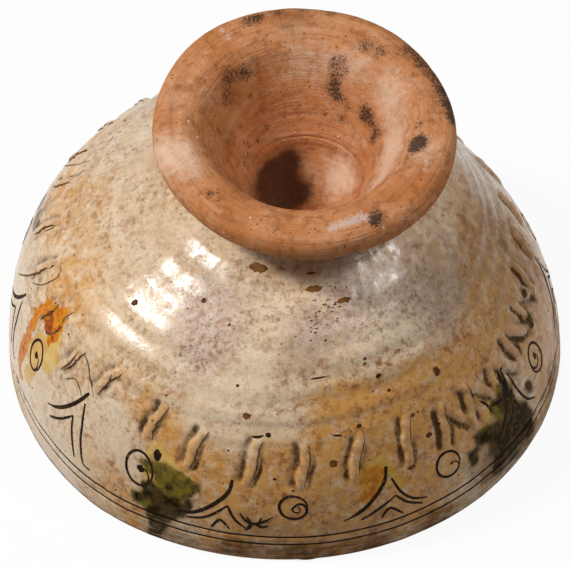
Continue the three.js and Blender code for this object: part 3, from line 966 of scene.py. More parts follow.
THIN_MARKS = [
    ([(-156.1, 38.4), (-154.3, 39.2), (-152.6, 42.0), (-152.1, 43.9)], 0.6),
    ([(-152.7, 44.0), (-152.5, 46.3), (-151.5, 48.6)], 0.4),
    ([(-158.3, 39.5), (-157.1, 41.4), (-157.7, 43.5)], 0.4),
    ([(-146.1, 35.7), (-144.2, 39.3), (-143.4, 43.2)], 0.55),
    ([(-144.5, 34.0), (-141.4, 36.7), (-139.0, 35.3), (-138.2, 34.0)], 0.4),
    ([(-141.8, 43.8), (-139.2, 42.2), (-137.2, 39.6), (-134.7, 36.5)], 0.4),
    ([(-132.6, 39.9), (-132.1, 42.5), (-131.9, 44.7)], 0.5),
    ([(-179.6, 30.7), (-175.4, 36.0), (-171.5, 41.4), (-168.9, 46.6)], 0.5),
    ([(150.9, 38.5), (157.0, 49.8), (158.1, 54.2)], 0.35),
    ([(161.3, 48.9), (162.7, 52.0), (161.7, 54.1)], 0.35),
    ([(178.0, 46.0), (179.1, 48.3), (179.4, 50.4)], 0.35),
    ([(-171.1, 39.0), (-166.5, 43.4), (-164.1, 48.6), (-167.2, 50.8)], 0.35),
]
MARK_SHAPE = (0.4, 0.3, 0.1)  # share of the width at the start and at the end, and lift
for strokes, listed in ((ornament, MARKS), (thin_marks_and_shadow_edges, THIN_MARKS)):
    for marked, width in listed:
        strokes.ribbon(marked, width, *MARK_SHAPE)
ornament.dot(-91.2, 41.6, 0.8, 0.75, seed=3, lift=0.1)
ornament.dot(-116.4, 30.4, 1.2, 1.9, seed=8, lift=0.1)
print(len(MARKS), "dark marks and", len(THIN_MARKS), "thin ones")
ornament_piece = ornament.make("incised_ornament")
thin_marks_and_shadow_piece = thin_marks_and_shadow_edges.make("thin_marks_and_shadow_edges")

# %% [markdown]
# ## Pits and bare spots
# Bubbles burst in the glaze and left small dark pits, and a few crumbs of grit left brown spots. They are
# flat hollow dabs, most of them scattered with a seed and the larger ones listed one by one.

# %% Pits in the glaze
PITS = [
    # azimuth, height, half width, half height
    (-139.6, 58.1, 0.9, 0.9), (-57.1, 38.6, 0.8, 0.6), (-46.9, 44.8, 1, 1.5), (-60.5, 46.5, 0.6, 0.5),
    (-62.5, 50.5, 0.8, 0.7), (-66, 55, 0.5, 0.5), (-122, 64, 0.7, 0.7), (-79, 53.4, 2.2, 0.3),
    (-109.8, 62, 0.4, 0.4), (-61.1, 25.5, 1.2, 0.8), (-55, 31.8, 1, 0.8), (-70, 41, 0.8, 0.6),
    (-52, 33, 0.7, 0.6), (-90.5, 30, 0.5, 0.4), (-100, 52, 0.5, 0.4),
]
PIT_HEIGHTS = (12, 69)
PIT_SMALLEST, PIT_LARGER = 0.12, 0.3
CLUSTER_MIDDLE, CLUSTER_SPREAD, CLUSTER_TOP = (-79.5, 65.0), (3.85, 1.6), 68.5
SCATTERED_PITS, CLUSTERED_PITS = 260, 30

pits = Strokes()
for number, (azimuth, height, wide, tall) in enumerate(PITS):
    pits.dot(azimuth, height, wide, tall, seed=number)
pit_random = np.random.default_rng(11)
for number in range(SCATTERED_PITS):
    azimuth, height = pit_random.uniform(-180, 180), pit_random.uniform(*PIT_HEIGHTS)
    size = PIT_SMALLEST + PIT_LARGER * pit_random.random() ** 3
    pits.dot(azimuth, height, size, size, seed=number, sides=8, hollow=0.03, lift=0.05)
for number in range(CLUSTERED_PITS):
    azimuth = CLUSTER_MIDDLE[0] + CLUSTER_SPREAD[0] * pit_random.normal()
    height = min(CLUSTER_MIDDLE[1] + CLUSTER_SPREAD[1] * pit_random.normal(), CLUSTER_TOP)
    pits.dot(azimuth, height, 0.2 + 0.4 * pit_random.random(), 0.22, seed=number, sides=8, lift=0.05)
pits_piece = pits.make("glaze_pits")

# %% Brown spots
SPOTS = [
    # azimuth, height, half width, half height
    (-109.8, 70.6, 2.6, 1.6), (-84.2, 68.4, 2.3, 0.9), (-72.8, 66.2, 2.0, 0.8), (-86.0, 70.6, 1.2, 0.5),
    (-96.2, 45.8, 1.1, 1.0), (-77.5, 33.0, 1.2, 1.1), (-66.0, 54.0, 0.6, 0.5),
]
FIRST_SPOT_SEED = 90
spots = Strokes()
for number, (azimuth, height, wide, tall) in enumerate(SPOTS):
    spots.dot(azimuth, height, wide, tall, seed=FIRST_SPOT_SEED + number, sides=22, hollow=0.02)
spots_piece = spots.make("bare_spots")

# %% [markdown]
# ## The foot
# The foot was thrown as a thick ring and turned while leather hard, so fine grooves run round it. Its
# outline is carried round the axis as before. Its outer edge isn't a true circle, and it has a shallow
# groove near the edge, a soft lip round the hollow and a few ridges where the tool reached the bottom.

# %% Outline of the foot
LIP_ROUNDING = 3.4
FOOTING_FLARE, FLARE_RISE = 2.2, 4.0


def foot_outline():
    """Neck, underside, rounded edge, flat, rounded lip of the hollow and the hollow's cone, closed."""
    base = joint_height + JOINT_THICKNESS * 0.5
    neck_radius = NECK_RADIUS - COAT_DEPTH
    edge_radius = FOOT_RADIUS - FLANGE_ROUNDING
    under_edge = (edge_radius, foot_height - FLANGE_THICKNESS)
    neck = [(neck_radius + FOOTING_FLARE, base), (neck_radius, base + FLARE_RISE), (neck_radius, neck_top)]
    underside = curve_by_corner(neck[-1], (neck_radius, under_edge[1] - FLANGE_UNDERCUT), under_edge, 24)
    edge_middle = (FOOT_RADIUS, foot_height - FLANGE_THICKNESS / 2)
    lower_edge = curve_by_corner(under_edge, (FOOT_RADIUS, under_edge[1] + FLANGE_UNDERCUT), edge_middle, 12)
    upper_edge = curve_by_corner(edge_middle, (FOOT_RADIUS, foot_height), (edge_radius, foot_height), 12)
    lip = np.array([HOLLOW_RADIUS, foot_height - HOLLOW_LIP_DROP])
    bottom = np.array([HOLLOW_BASE_RADIUS, base])
    below_lip = lip + (bottom - lip) / np.linalg.norm(bottom - lip) * LIP_ROUNDING
    rounding = curve_by_corner((edge_radius - LAND_WIDTH, foot_height), lip, below_lip, 12)
    return Outline(np.vstack([neck, underside[1:], lower_edge[1:], upper_edge[1:], rounding, bottom]))


foot_line = foot_outline()
print(f"foot outline {foot_line.length:.0f} mm long")

# %% Relief of the foot
FOOT_SWELLS = [(130.0, 26.0, 1.1), (-132.0, 24.0, -0.75), (28.0, 22.0, -0.8)]  # azimuth, spread, height
HOLLOW_RINGS, RING_PITCH = 0.06, 1.15
TOOL_RIDGES = [(0.22, 19.2, 0.5), (0.16, 17.4, 0.45)]  # height, depth in the hollow, spread
EDGE_GROOVES = [(0.16, 1.5, 0.35), (0.1, 2.6, 0.3)]  # depth, distance from the edge, spread
LAND_DISH, DISH_RADIUS, DISH_SPREAD = 0.12, 35.5, 2.0
# height, columns, spacing and seed of noise
HOLLOW_SHAKE, GROOVE_WANDER = (1.0, 5, 8.0, 61), (0.25, 6, 30.0, 62)
FOOT_LUMPS = ((0.16, 26, 9.0, 63), (0.05, 110, 2.4, 64))


def foot_relief(azimuth, path):
    """Height above the turned outline of the foot, in mm: rings in the hollow, swells of the edge,
    grooves, lumps and a dished flat, each kept to its place by smooth steps."""
    radius, height, out, *_ = foot_line.at(path)
    depth = foot_height - height
    inner = smooth_step(-out, 0.25, 0.3)
    shaken = depth * 2 * np.pi / RING_PITCH + lumps(azimuth, path, [HOLLOW_SHAKE])
    ridges = sum(high * bell(depth, at, wide) for high, at, wide in TOOL_RIDGES)
    rings = (HOLLOW_RINGS * np.sin(shaken) + ridges) * inner
    swell = sum(high * bell(angle_between(azimuth, at), 0, wide) for at, wide, high in FOOT_SWELLS)
    swell = swell * smooth_step(radius, FOOT_RADIUS - 8, 6) * np.clip(out, 0, 1)
    wandering = radius + lumps(azimuth, path, [GROOVE_WANDER])
    on_edge = smooth_step(radius, FOOT_RADIUS - 4, 1.5) * smooth_step(height, foot_height - 3.5, 1)
    groove = sum(deep * bell(wandering, FOOT_RADIUS - off, wide) for deep, off, wide in EDGE_GROOVES)
    dish = LAND_DISH * smooth_step(height, foot_height - 3, 2.5) * bell(radius, DISH_RADIUS, DISH_SPREAD)
    return rings + swell - groove * on_edge + lumps(azimuth, path, FOOT_LUMPS) - dish


probe = foot_relief(np.zeros(200), np.linspace(0, foot_line.length, 200))
print(f"relief of the foot: {probe.min():.2f} to {probe.max():.2f} mm")

# %% [markdown]
# ## Soot, lime, dust, dirt, and painted light and shade on the bare clay
# The foot was never glazed, so it took up what it stood in. As on the glaze, each deposit is a list of
# soft patches, here in the foot and the pit, where the material gives them ragged edges. The dirt list is
# mostly painted shade on the left of the pit and the hollow, and the dust list partly painted light.

# %% Patches on the foot
SOOT = [
    # azimuth, radius, height above FOOT_PATCH_LEVEL, size, strength
    (72, 26.1, 28.2, 2, 0.5), (67, 27.1, 30.1, 1.8, 0.45), (69, 24.2, 24.7, 2.2, 0.6),
    (69, 22.5, 21.7, 2.4, 0.6), (63, 21.8, 20.4, 2, 0.5), (73, 19.5, 16.3, 1.8, 0.4),
    (58, 19.2, 15.7, 2, 0.4), (41, 22.5, 21.6, 2.2, 0.55), (33, 21.7, 20.3, 2.2, 0.6),
    (23, 21.6, 20.1, 2.2, 0.5), (22, 20.3, 17.7, 1.8, 0.5), (41, 21.3, 19.4, 1.8, 0.5),
    (64, 25.7, 27.5, 1.6, 0.4), (53, 21.2, 19.2, 1.8, 0.35), (58, 31.6, 33.6, 2.6, 0.55),
    (50, 32.6, 33.6, 2.4, 0.5), (-15, 30.9, 33.4, 2.5, 1), (-11, 31.8, 33.6, 2.2, 1),
    (-23, 29.3, 33.2, 1.6, 0.65), (41, 38.8, 33.6, 3.2, 0.6), (33, 38.6, 33.6, 3, 0.65),
    (25, 39.4, 33.2, 3, 0.7), (17, 39.8, 33, 2.6, 0.85), (10, 40, 33, 2.6, 0.85),
    (3, 40.4, 32.4, 2.6, 0.75), (114, 38.6, 33.6, 2.6, 0.6), (109, 38.8, 33.6, 2.2, 0.65),
    (101, 39.2, 33.6, 2.2, 0.6), (90, 40, 33.2, 3, 0.4), (80, 40.2, 33, 3, 0.5), (140, 27.4, 31, 3, 0.6),
    (148, 25, 27, 2.8, 0.55), (128, 26.6, 29, 2.6, 0.6), (-59, 37.4, 33.6, 2.3, 0.95),
    (-62, 38.6, 33.6, 1.4, 0.6), (-136, 35.4, 33.6, 1.1, 0.85), (-131, 35.2, 33.6, 0.8, 0.7),
    (0, 31, 33.4, 2, 0.45), (130, 23.4, 22.8, 1, 0.6), (131, 21, 18, 0.9, 0.5), (125, 18.7, 14.2, 1, 0.6),
    (138, 18, 12.9, 1.1, 0.6), (-102, 37.8, 33.6, 1, 0.5), (150, 18.6, 13.5, 1.5, 0.6),
    (165, 18, 12, 1.4, 0.6), (-170, 17.4, 11, 1.3, 0.5),
]
LIME = [
    (-79, 36.6, 33.6, 1.9, 0.8), (-74, 36, 33.6, 2, 0.8), (-69, 35.8, 33.6, 2.1, 0.8),
    (-64, 36, 33.6, 2, 0.8), (-60, 37, 33.6, 1.8, 0.5), (125, 36.4, 33.6, 1.8, 0.6),
    (126, 39.2, 33.6, 1.6, 0.6), (122, 33.4, 33.6, 1.6, 0.5), (105, 38.6, 33.6, 1.8, 0.55),
    (-22, 35.4, 33.6, 1.7, 0.7), (-27, 36.4, 33.6, 1.4, 0.55), (-150, 34.6, 33.6, 1.8, 0.35),
    (76, 26, 29, 2.4, 0.45), (140, 29.6, 33, 1.6, 0.4),
]
# partly painted light: the patches on the right and far walls of the hollow and the right of the pit are
# painted light; those on the flat and the edge of the foot are dust
DUST_AND_PAINTED_LIGHT = [
    (0, 24, 25, 8, 0.8), (-30, 22, 24, 7, 0.8), (30, 27, 29, 7, 0.7), (60, 27, 29, 6, 0.5),
    (35, 13, 3, 7, 0.9), (-150, 36, 33.6, 6, 0.4), (170, 36, 33.6, 6, 0.3), (-15, 35, 33.6, 5, 0.5),
    (-163, 36, 34, 7, 0.6), (146, 36, 34, 6, 0.3), (90, 27, 28, 9, 0.5), (-165, 41, 30, 7, 0.5),
]
# mostly painted shade: dark on the left and far side of the pit and on the left wall of the hollow, where the
# left lamp's shadow falls; the three patches 33 to 34 mm up, on the flat of the foot, are dirt
PIT_SHADE_AND_DIRT = [
    (117, 11.2, 1.4, 4.5, 0.8), (141, 6.4, -1.2, 4.5, 0.8), (135, 12.7, 3, 4.5, 0.7),
    (106, 14, 4.5, 4, 0.6), (95, 4, -2, 3.5, 0.7), (85, 7, -1.4, 3, 0.4), (160, 11.7, 2, 5, 0.8),
    (-153, 6.7, -1, 5, 0.8), (-120, 9, 0.5, 5, 0.8), (-165, 13, 6, 5, 0.6), (133, 27.6, 30.3, 3, 0.35),
    (120, 27.6, 30.3, 2.6, 0.35), (170, 22, 22, 6, 0.35), (-150, 20, 18, 6, 0.35), (45, 37, 33.6, 6, 0.3),
    (15, 38, 33, 6, 0.35), (96, 36, 34, 7, 0.4),
]
PIT_SOOT = [(-100, 8, 3, 2.2, 0.7), (-95, 6, -1, 3, 0.5), (160, 13, 8, 1.6, 0.7), (80, 13.5, 8, 1.2, 0.5)]
FOOT_PATCH_LEVEL = 60.0


def foot_patches(points, listed):
    """Soft patches given by azimuth, radius, height above a fixed level, size and strength."""
    azimuth, radius, height, size, strength = np.array(listed, float).T
    a = np.radians(azimuth)
    middles = np.stack([radius * np.cos(a), radius * np.sin(a), height + FOOT_PATCH_LEVEL], axis=-1)
    return soft_patches(points, zip(middles, size, strength))


# the dust spots are partly painted light and the dirt spots mostly painted shade
print(len(SOOT), "spots of soot,", len(LIME), "of lime,", len(DUST_AND_PAINTED_LIGHT), "of dust,", len(PIT_SHADE_AND_DIRT), "of dirt")

# %% Make the foot
FOOT_COLUMNS = 440
FOOT_STEP = 0.62


def turned_ring(name, line, step, relief, columns, painted):
    """A closed ring: rows of an outline every step mm carried round the axis with their relief, the last
    row joined to the first."""
    rows = np.linspace(0, line.length, int(line.length / step))
    azimuth, path = grid_points(ring_azimuths(columns), rows)
    points = line.turned(azimuth, path, relief(azimuth, path))
    faces = band_faces(0, len(rows), columns) + [ring_faces((len(rows) - 1) * columns, 0, columns)]
    masks = {key: foot_patches(points, listed) for key, listed in painted.items()}
    return make_piece(name, settle(points), faces, {"turned": unrolled(azimuth, path), **masks})


# the dust and dirt masks are partly painted light and shade in the hollow
painted_foot = {"soot": SOOT, "lime": LIME, "dust": DUST_AND_PAINTED_LIGHT, "dirt": PIT_SHADE_AND_DIRT}
foot_piece = turned_ring("turned_foot", foot_line, FOOT_STEP, foot_relief, FOOT_COLUMNS, painted_foot)

# %% [markdown]
# ## The bowl under the coats
# The thrown bowl shows at its bare lip and in the pit that the foot opens into. Its outline starts and
# ends on the axis: up the inside is the top of the floor, and down the outside the pit.

# %% Outlines of the bowl
LIP_CURVE, LIP_SET_IN, LIP_TALL = 1.6, 0.5, 1.1
UNDER_GLAZE_HEIGHT = 2.2


def inside_outline(depth_in):
    """Quarter of a superellipse (radius cos^p, depth sin^p), set back into the wall by a distance."""
    radius = RIM_RADIUS - RIM_WALL
    depth = joint_height - PIT_DEPTH - FLOOR_THICKNESS
    power = 2 / INTERIOR_SQUARENESS
    t = np.linspace(0, np.pi / 2, 90)
    points = np.stack([radius * np.cos(t) ** power, depth * np.sin(t) ** power], axis=-1)
    points[-1, 0] = 0
    line = Outline(points)
    moved = line.points + depth_in * line.normals
    moved[-1] = (0, depth + depth_in)
    return moved[moved[:, 0] >= 0]


def body_outline():
    """From the axis down the inside, round the lip, up the outside and down the pit to the axis."""
    inner = inside_outline(COAT_DEPTH)
    inner = inner[inner[:, 1] > BARE_RIM + 0.4][::-1]
    outer_all = outside.points - COAT_DEPTH * outside.normals
    outer = outer_all[(outer_all[:, 1] > UNDER_GLAZE_HEIGHT) & (outer_all[:, 1] < joint_height)]
    lip_radius = RIM_RADIUS - LIP_SET_IN
    lip_outer = curve_by_corner((lip_radius - LIP_CURVE, 0), (lip_radius, 0), (lip_radius, LIP_TALL), 6)
    lip_inner = curve_by_corner(inner[-1], (inner[-1, 0], 0), (inner[-1, 0] + LIP_CURVE, 0), 6)
    under_glaze = [(lip_radius, LIP_TALL + 0.1), (lip_radius - 1.0, LIP_TALL + 0.7)]
    t = np.linspace(0, np.pi / 2, 30)
    pit = np.stack([PIT_RADIUS * np.cos(t), joint_height - PIT_DEPTH * np.sin(t)], axis=-1)
    pit[-1, 0] = 0
    top = [(outer[-1, 0], joint_height), (PIT_RADIUS + 0.6, joint_height + 0.1)]
    return Outline(np.vstack([inner, lip_inner[1:], lip_outer, under_glaze, outer, top, pit]))


body_line = body_outline()
print(f"outline of the bowl {body_line.length:.0f} mm long, {len(body_line.points)} points")

# %% Make the thrown bowl
BODY_COLUMNS, BODY_ROWS = 220, 330
PIT_PATH = 24.0
PIT_RINGS, PIT_RING_PITCH = 0.12, 2.3
PIT_SHAKE, PIT_LUMPS = (1.0, 5, 6.0, 71), (0.14, 9, 5.0, 72)  # height, columns, spacing, seed


def pole_piece(name, line, rows, columns, relief, painted):
    """A piece whose outline starts and ends on the axis: rows carried round the axis with their relief,
    and a fan of triangles to a single vertex at each end."""
    paths = np.linspace(0, line.length, rows)[1:-1]
    azimuth, path = grid_points(ring_azimuths(columns), paths)
    poles = [[0, 0, line.points[0, 1]], [0, 0, line.points[-1, 1]]]
    points = np.vstack([line.turned(azimuth, path, relief(azimuth, path)), poles])
    first_pole, last_pole = len(path), len(path) + 1
    faces = band_faces(0, len(paths), columns)
    faces.append(fan_faces(0, first_pole, columns, False))
    faces.append(fan_faces(first_pole - columns, last_pole, columns, True))
    masks = {key: foot_patches(points, listed) for key, listed in painted.items()}
    turned = np.vstack([unrolled(azimuth, path), [[0, 0, 0], [0, 0, line.length]]])
    return make_piece(name, settle(points), faces, {"turned": turned, **masks})


def body_relief(azimuth, path):
    """Soft ridges in the pit, where the tool turned it, and nothing elsewhere."""
    in_pit = smooth_step(path, body_line.length - PIT_PATH, 2)
    shaken = path * 2 * np.pi / PIT_RING_PITCH + lumps(azimuth, path, [PIT_SHAKE])
    fade = smooth_step(body_line.at(path)[0], 1.0, 4.0)
    return in_pit * fade * (PIT_RINGS * np.sin(shaken) + lumps(azimuth, path, [PIT_LUMPS]))


# in the pit the dust mask is painted light on the right and the dirt mask painted shade on the left
painted_pit = {"soot": PIT_SOOT, "dust": DUST_AND_PAINTED_LIGHT, "dirt": PIT_SHADE_AND_DIRT}
body_piece = pole_piece("thrown_bowl", body_line, BODY_ROWS, BODY_COLUMNS, body_relief, painted_pit)

# %% The joint's slip
JOINT_COLUMNS, JOINT_STEP = 220, 0.8
JOINT_SINK, JOINT_PAST_WALL, JOINT_CLEARANCE, JOINT_BULGE = 0.3, 0.55, 4.0, 0.5
JOINT_LUMPS = [(0.08, 40, 3.0, 81)]  # height, columns, spacing, seed


def joint_outline():
    """A low block from the wall of the foot in to a rounded bulge round the pit."""
    low, high = joint_height - JOINT_SINK, joint_height + JOINT_THICKNESS
    inner = HOLLOW_BASE_RADIUS - JOINT_PAST_WALL
    outer = FOOTING_RADIUS - COAT_DEPTH - JOINT_CLEARANCE
    middle = (inner - JOINT_BULGE, (low + high) / 2)
    bulge = curve_by_corner((inner + 0.8, high), middle, (inner + JOINT_BULGE, low), 8)
    return Outline(np.vstack([[(outer, low), (outer, high)], bulge]))


def joint_relief(azimuth, path):
    """Lumps of slip that was squeezed out and never smoothed."""
    return lumps(azimuth, path, JOINT_LUMPS)


# the joint takes the pit's painted shade from the same list
joint_piece = turned_ring(
    "joint_slip", joint_outline(), JOINT_STEP, joint_relief, JOINT_COLUMNS, {"dirt": PIT_SHADE_AND_DIRT}
)

# %% [markdown]
# ## The glazed inside
# The inside doesn't show in the photograph, so it is plain: a yellowish glaze over slip, with a few lines
# cut round it, as such bowls have.

# %% Make the glazed inside
INSIDE_COLUMNS, INSIDE_ROWS = 220, 420
INSIDE_LINES = (12.0, 15.0, 50.0, 53.0)
INSIDE_LINE_DEPTH = 0.3
INSIDE_LUMPS = [(0.08, 24, 8.0, 91)]  # height, columns, spacing, seed
FACE_SHARE = 0.48


def inside_shell():
    """Face of the inside from the axis down to the rim, then back up behind it."""
    face, back = (line[line[:, 1] > BARE_RIM] for line in (inside_outline(0.0), inside_outline(GLAZE_DEPTH)))
    return Outline(np.vstack([face[::-1], back]))


inside_line = inside_shell()


def inside_relief(azimuth, path):
    """Two pairs of lines cut round the inside, and lumps, on the face only."""
    on_face = 1 - smooth_step(path, inside_line.length * FACE_SHARE, 1.0)
    lines = sum(np.clip(1 - np.abs(path - at) / LINE_HALF_WIDTH, 0, 1) for at in INSIDE_LINES)
    relief = lumps(azimuth, path, INSIDE_LUMPS) - INSIDE_LINE_DEPTH * lines
    return on_face * smooth_step(path, 1, 3) * relief


inside_piece = pole_piece("glazed_inside", inside_line, INSIDE_ROWS, INSIDE_COLUMNS, inside_relief, {})

# %% [markdown]
# ## Node helpers
# A material is a small program of nodes. These helpers add a node, set its inputs from numbers or from
# other nodes' outputs, and return an output to feed the next. Short names for the sums that come back
# all the time keep a material readable as a list of layers.

# %% Node helpers
class Nodes:
    """Adds linked nodes to a material's or a group's tree."""

    def __init__(self, tree):
        self.tree = tree

    def feed(self, socket, value):
        """Links another node's output to a socket, or sets the socket to a number or a colour."""
        if isinstance(value, bpy.types.NodeSocket):
            self.tree.links.new(value, socket)
        else:
            socket.default_value = value

    def add(self, kind, inputs=None, **settings):
        """A new node with its settings, and its inputs fed by name or number."""
        node = self.tree.nodes.new(kind)
        for key, value in settings.items():
            setattr(node, key, value)
        for key, value in (inputs or {}).items():
            self.feed(node.inputs[key], value)
        return node

    def math(self, operation, a, b=0.0):
        """One sum of two values."""
        return self.add("ShaderNodeMath", {0: a, 1: b}, operation=operation).outputs[0]

    def times(self, a, b):
        return self.math("MULTIPLY", a, b)

    def plus(self, a, b):
        return self.math("ADD", a, b)

    def less(self, a, b):
        return self.math("SUBTRACT", a, b)

    def most(self, first, *others):
        """The largest of several values."""
        for other in others:
            first = self.math("MAXIMUM", first, other)
        return first

    def step(self, value, low, high, to_low=0.0, to_high=1.0):
        """Smooth step of a value from low to high."""
        inputs = {"Value": value, "From Min": low, "From Max": high, "To Min": to_low, "To Max": to_high}
        return self.add("ShaderNodeMapRange", inputs, interpolation_type="SMOOTHSTEP").outputs[0]

    def mix(self, share, a, b):
        """Colour a where the share is 0 and b where it is 1."""
        inputs = {0: share, 6: a, 7: b}
        return self.add("ShaderNodeMix", inputs, data_type="RGBA", clamp_factor=True).outputs[2]

    def noise(self, vector, scale, detail, roughness=0.5):
        """Smooth noise from about 0.2 to 0.8, with scale bumps to one unit of the vector."""
        inputs = {"Vector": vector, "Scale": scale, "Detail": detail, "Roughness": roughness}
        return self.add("ShaderNodeTexNoise", inputs).outputs[0]

    def sized(self, vector, size):
        """A vector divided by a size, so that a pattern of scale 1 on it has cells of that size."""
        inputs = {0: vector, "Scale": self.math("DIVIDE", 1.0, size)}
        return self.add("ShaderNodeVectorMath", inputs, operation="SCALE").outputs[0]

    def shifted(self, vector, shift):
        """A vector plus a shift."""
        return self.add("ShaderNodeVectorMath", {0: vector, 1: shift}, operation="ADD").outputs[0]

    def attribute(self, name, output="Fac"):
        """A mask or vector that the mesh carries at its vertices."""
        return self.add("ShaderNodeAttribute", attribute_name=name).outputs[output]


def colour(red, green, blue):
    """Linear colour with alpha from the 0 to 255 values that a paint picker shows."""
    values = np.array([red, green, blue]) / 255
    linear = np.where(values <= 0.04045, values / 12.92, ((values + 0.055) / 1.055) ** 2.4)
    return (*linear.tolist(), 1.0)


print("a middle grey is", [round(part, 3) for part in colour(128, 128, 128)])

# %% [markdown]
# ## Effects that several materials share
# Blotches turn noise into patches with soft or hard edges. Ragged gives a painted mask a broken edge.
# Specks are the scattered dark grains in clay and glaze. Turning makes streaks along the wheel. Each is
# a node group, built once and placed in every material with its own values.

# %% Shared node groups
def new_group(name, inputs, output):
    """An empty node group with float inputs, a vector where no number is given, and one float output."""
    tree = bpy.data.node_groups.new(name, "ShaderNodeTree")
    for key, default in inputs.items():
        kind = "NodeSocketVector" if default is None else "NodeSocketFloat"
        socket = tree.interface.new_socket(key, in_out="INPUT", socket_type=kind)
        if default is not None:
            socket.default_value = default
    tree.interface.new_socket(output, in_out="OUTPUT", socket_type="NodeSocketFloat")
    nodes = Nodes(tree)
    return nodes, nodes.add("NodeGroupInput").outputs, nodes.add("NodeGroupOutput").inputs[0]


def blotches_group():
    """Noise of a size in metres, as a mask that goes from 0 at low to 1 at high."""
    inputs = {"Vector": None, "Size": 0.01, "Low": 0.45, "High": 0.6, "Shift": 0.0}
    nodes, source, mask = new_group("blotches", inputs, "Mask")
    shift = nodes.add("ShaderNodeCombineXYZ", {"X": source["Shift"], "Y": source["Shift"]}).outputs[0]
    place = nodes.shifted(nodes.sized(source["Vector"], source["Size"]), shift)
    nodes.feed(mask, nodes.step(nodes.noise(place, 1.0, 4.0, 0.6), source["Low"], source["High"]))
    return nodes.tree


def ragged_group():
    """A painted amount with noise added before it is cut to a mask, so that its edge breaks up."""
    inputs = {"Vector": None, "Amount": 0.5, "Size": 0.005, "Rough": 0.8, "Low": 0.35, "High": 0.65}
    nodes, source, mask = new_group("ragged", inputs, "Mask")
    noise = nodes.noise(nodes.sized(source["Vector"], source["Size"]), 1.0, 5.0, 0.65)
    total = nodes.plus(source["Amount"], nodes.times(nodes.less(noise, 0.5), source["Rough"]))
    present = nodes.step(source["Amount"], 0.02, 0.12)
    nodes.feed(mask, nodes.times(nodes.step(total, source["Low"], source["High"]), present))
    return nodes.tree


def specks_group():
    """Small round grains: cells nearer than Grain to their point, kept for a Share of the cells."""
    inputs = {"Vector": None, "Spacing": 0.002, "Grain": 0.25, "Share": 0.3}
    nodes, source, mask = new_group("specks", inputs, "Mask")
    scale = nodes.math("DIVIDE", 1.0, source["Spacing"])
    cells = nodes.add("ShaderNodeTexVoronoi", {"Vector": source["Vector"], "Scale": scale})
    pick = nodes.add("ShaderNodeSeparateColor", {"Color": cells.outputs["Color"]})
    kept = nodes.math("LESS_THAN", pick.outputs[0], source["Share"])
    near = nodes.less(nodes.times(source["Grain"], pick.outputs[1]), cells.outputs["Distance"])
    nodes.feed(mask, nodes.times(nodes.step(near, 0.0, 0.06), kept))
    return nodes.tree


def turning_group():
    """Noise on the unrolled surface, stretched round the pot: Streaks from 0 to 1."""
    nodes, source, streaks = new_group("turning", {"Turned": None, "Pitch": 1.0, "Length": 2.0}, "Streaks")
    x, y, path = nodes.add("ShaderNodeSeparateXYZ", {0: source["Turned"]}).outputs
    round_x, round_y = nodes.times(x, source["Length"]), nodes.times(y, source["Length"])
    along = nodes.math("DIVIDE", path, source["Pitch"])
    place = nodes.add("ShaderNodeCombineXYZ", {0: round_x, 1: round_y, 2: along}).outputs[0]
    nodes.feed(streaks, nodes.noise(place, 1.0, 3.0, 0.6))
    return nodes.tree


BLOTCHES, RAGGED, SPECKS, TURNING = blotches_group(), ragged_group(), specks_group(), turning_group()
print("groups:", ", ".join(group.name for group in (BLOTCHES, RAGGED, SPECKS, TURNING)))

# %% A finish, built up layer by layer
class Finish(Nodes):
    """A material with its Principled shader, its Object coordinates and the base colour laid so far.
    Sizes are in mm."""

    def __init__(self, name):
        self.material = bpy.data.materials.new(name)
        self.material.use_nodes = True
        super().__init__(self.material.node_tree)
        self.shader = self.tree.nodes["Principled BSDF"].inputs
        self.place = self.add("ShaderNodeTexCoord").outputs["Object"]

    def group(self, group, **inputs):
        """A shared node group placed in this material."""
        return self.add("ShaderNodeGroup", inputs, node_tree=group).outputs[0]

    def blotches(self, size, low, high, shift=0.0):
        """Patches of a size: 0 where the noise is under low, 1 over high. Each shift is another drawing."""
        return self.group(BLOTCHES, Vector=self.place, Size=size * MM, Low=low, High=high, Shift=shift)

    def ragged(self, amount, size, rough, low=0.35, high=0.65):
        """A painted amount whose edge is broken up, the more the rougher, by noise of a size."""
        edge = {"Size": size * MM, "Rough": rough, "Low": low, "High": high}
        return self.group(RAGGED, Vector=self.place, Amount=amount, **edge)

    def specks(self, spacing, grain, share, place=None):
        """Grains about a spacing apart, up to a grain's share of it wide, in a share of the places."""
        return self.group(SPECKS, Vector=place or self.place, Spacing=spacing * MM, Grain=grain, Share=share)

    def streaks(self, pitch, length):
        """Noise stretched round the pot: streaks a pitch wide, and shorter where the length is greater."""
        return self.group(TURNING, Turned=self.attribute("turned", "Vector"), Pitch=pitch, Length=length)

    def lay(self, mask, tone, share=1.0):
        """Mixes a tone over the base colour, as much as the mask times the share."""
        self.base = self.mix(mask if share == 1.0 else self.times(mask, share), self.base, tone)

    def bump(self, height, distance):
        """Feeds a height, in units of distance in mm, to the shader's normal."""
        node = self.add("ShaderNodeBump", {"Height": height, "Distance": distance * MM, "Strength": 1.0})
        self.feed(self.shader["Normal"], node.outputs[0])

    def done(self, roughness, specular=0.5):
        """Feeds base colour, roughness and specular level to the shader and returns the material."""
        self.feed(self.shader["Base Color"], self.base)
        self.feed(self.shader["Roughness"], roughness)
        self.feed(self.shader["Specular IOR Level"], specular)
        return self.material


print("a finish can:", ", ".join(name for name in vars(Finish) if not name.startswith("_")))

# %% [markdown]
# ## The glaze
# The colour is built like the real coat: cream slip, warm and grey tones where they were placed, fine
# iron mottling, dark scoops and pale fingers, then the oxide splashes and the worn rim. Some ivory
# patches are a painted highlight, and the scoops' mask also paints shade beside the fingers. Each layer
# is one line: a mask, the tone it lays down, and how strongly.

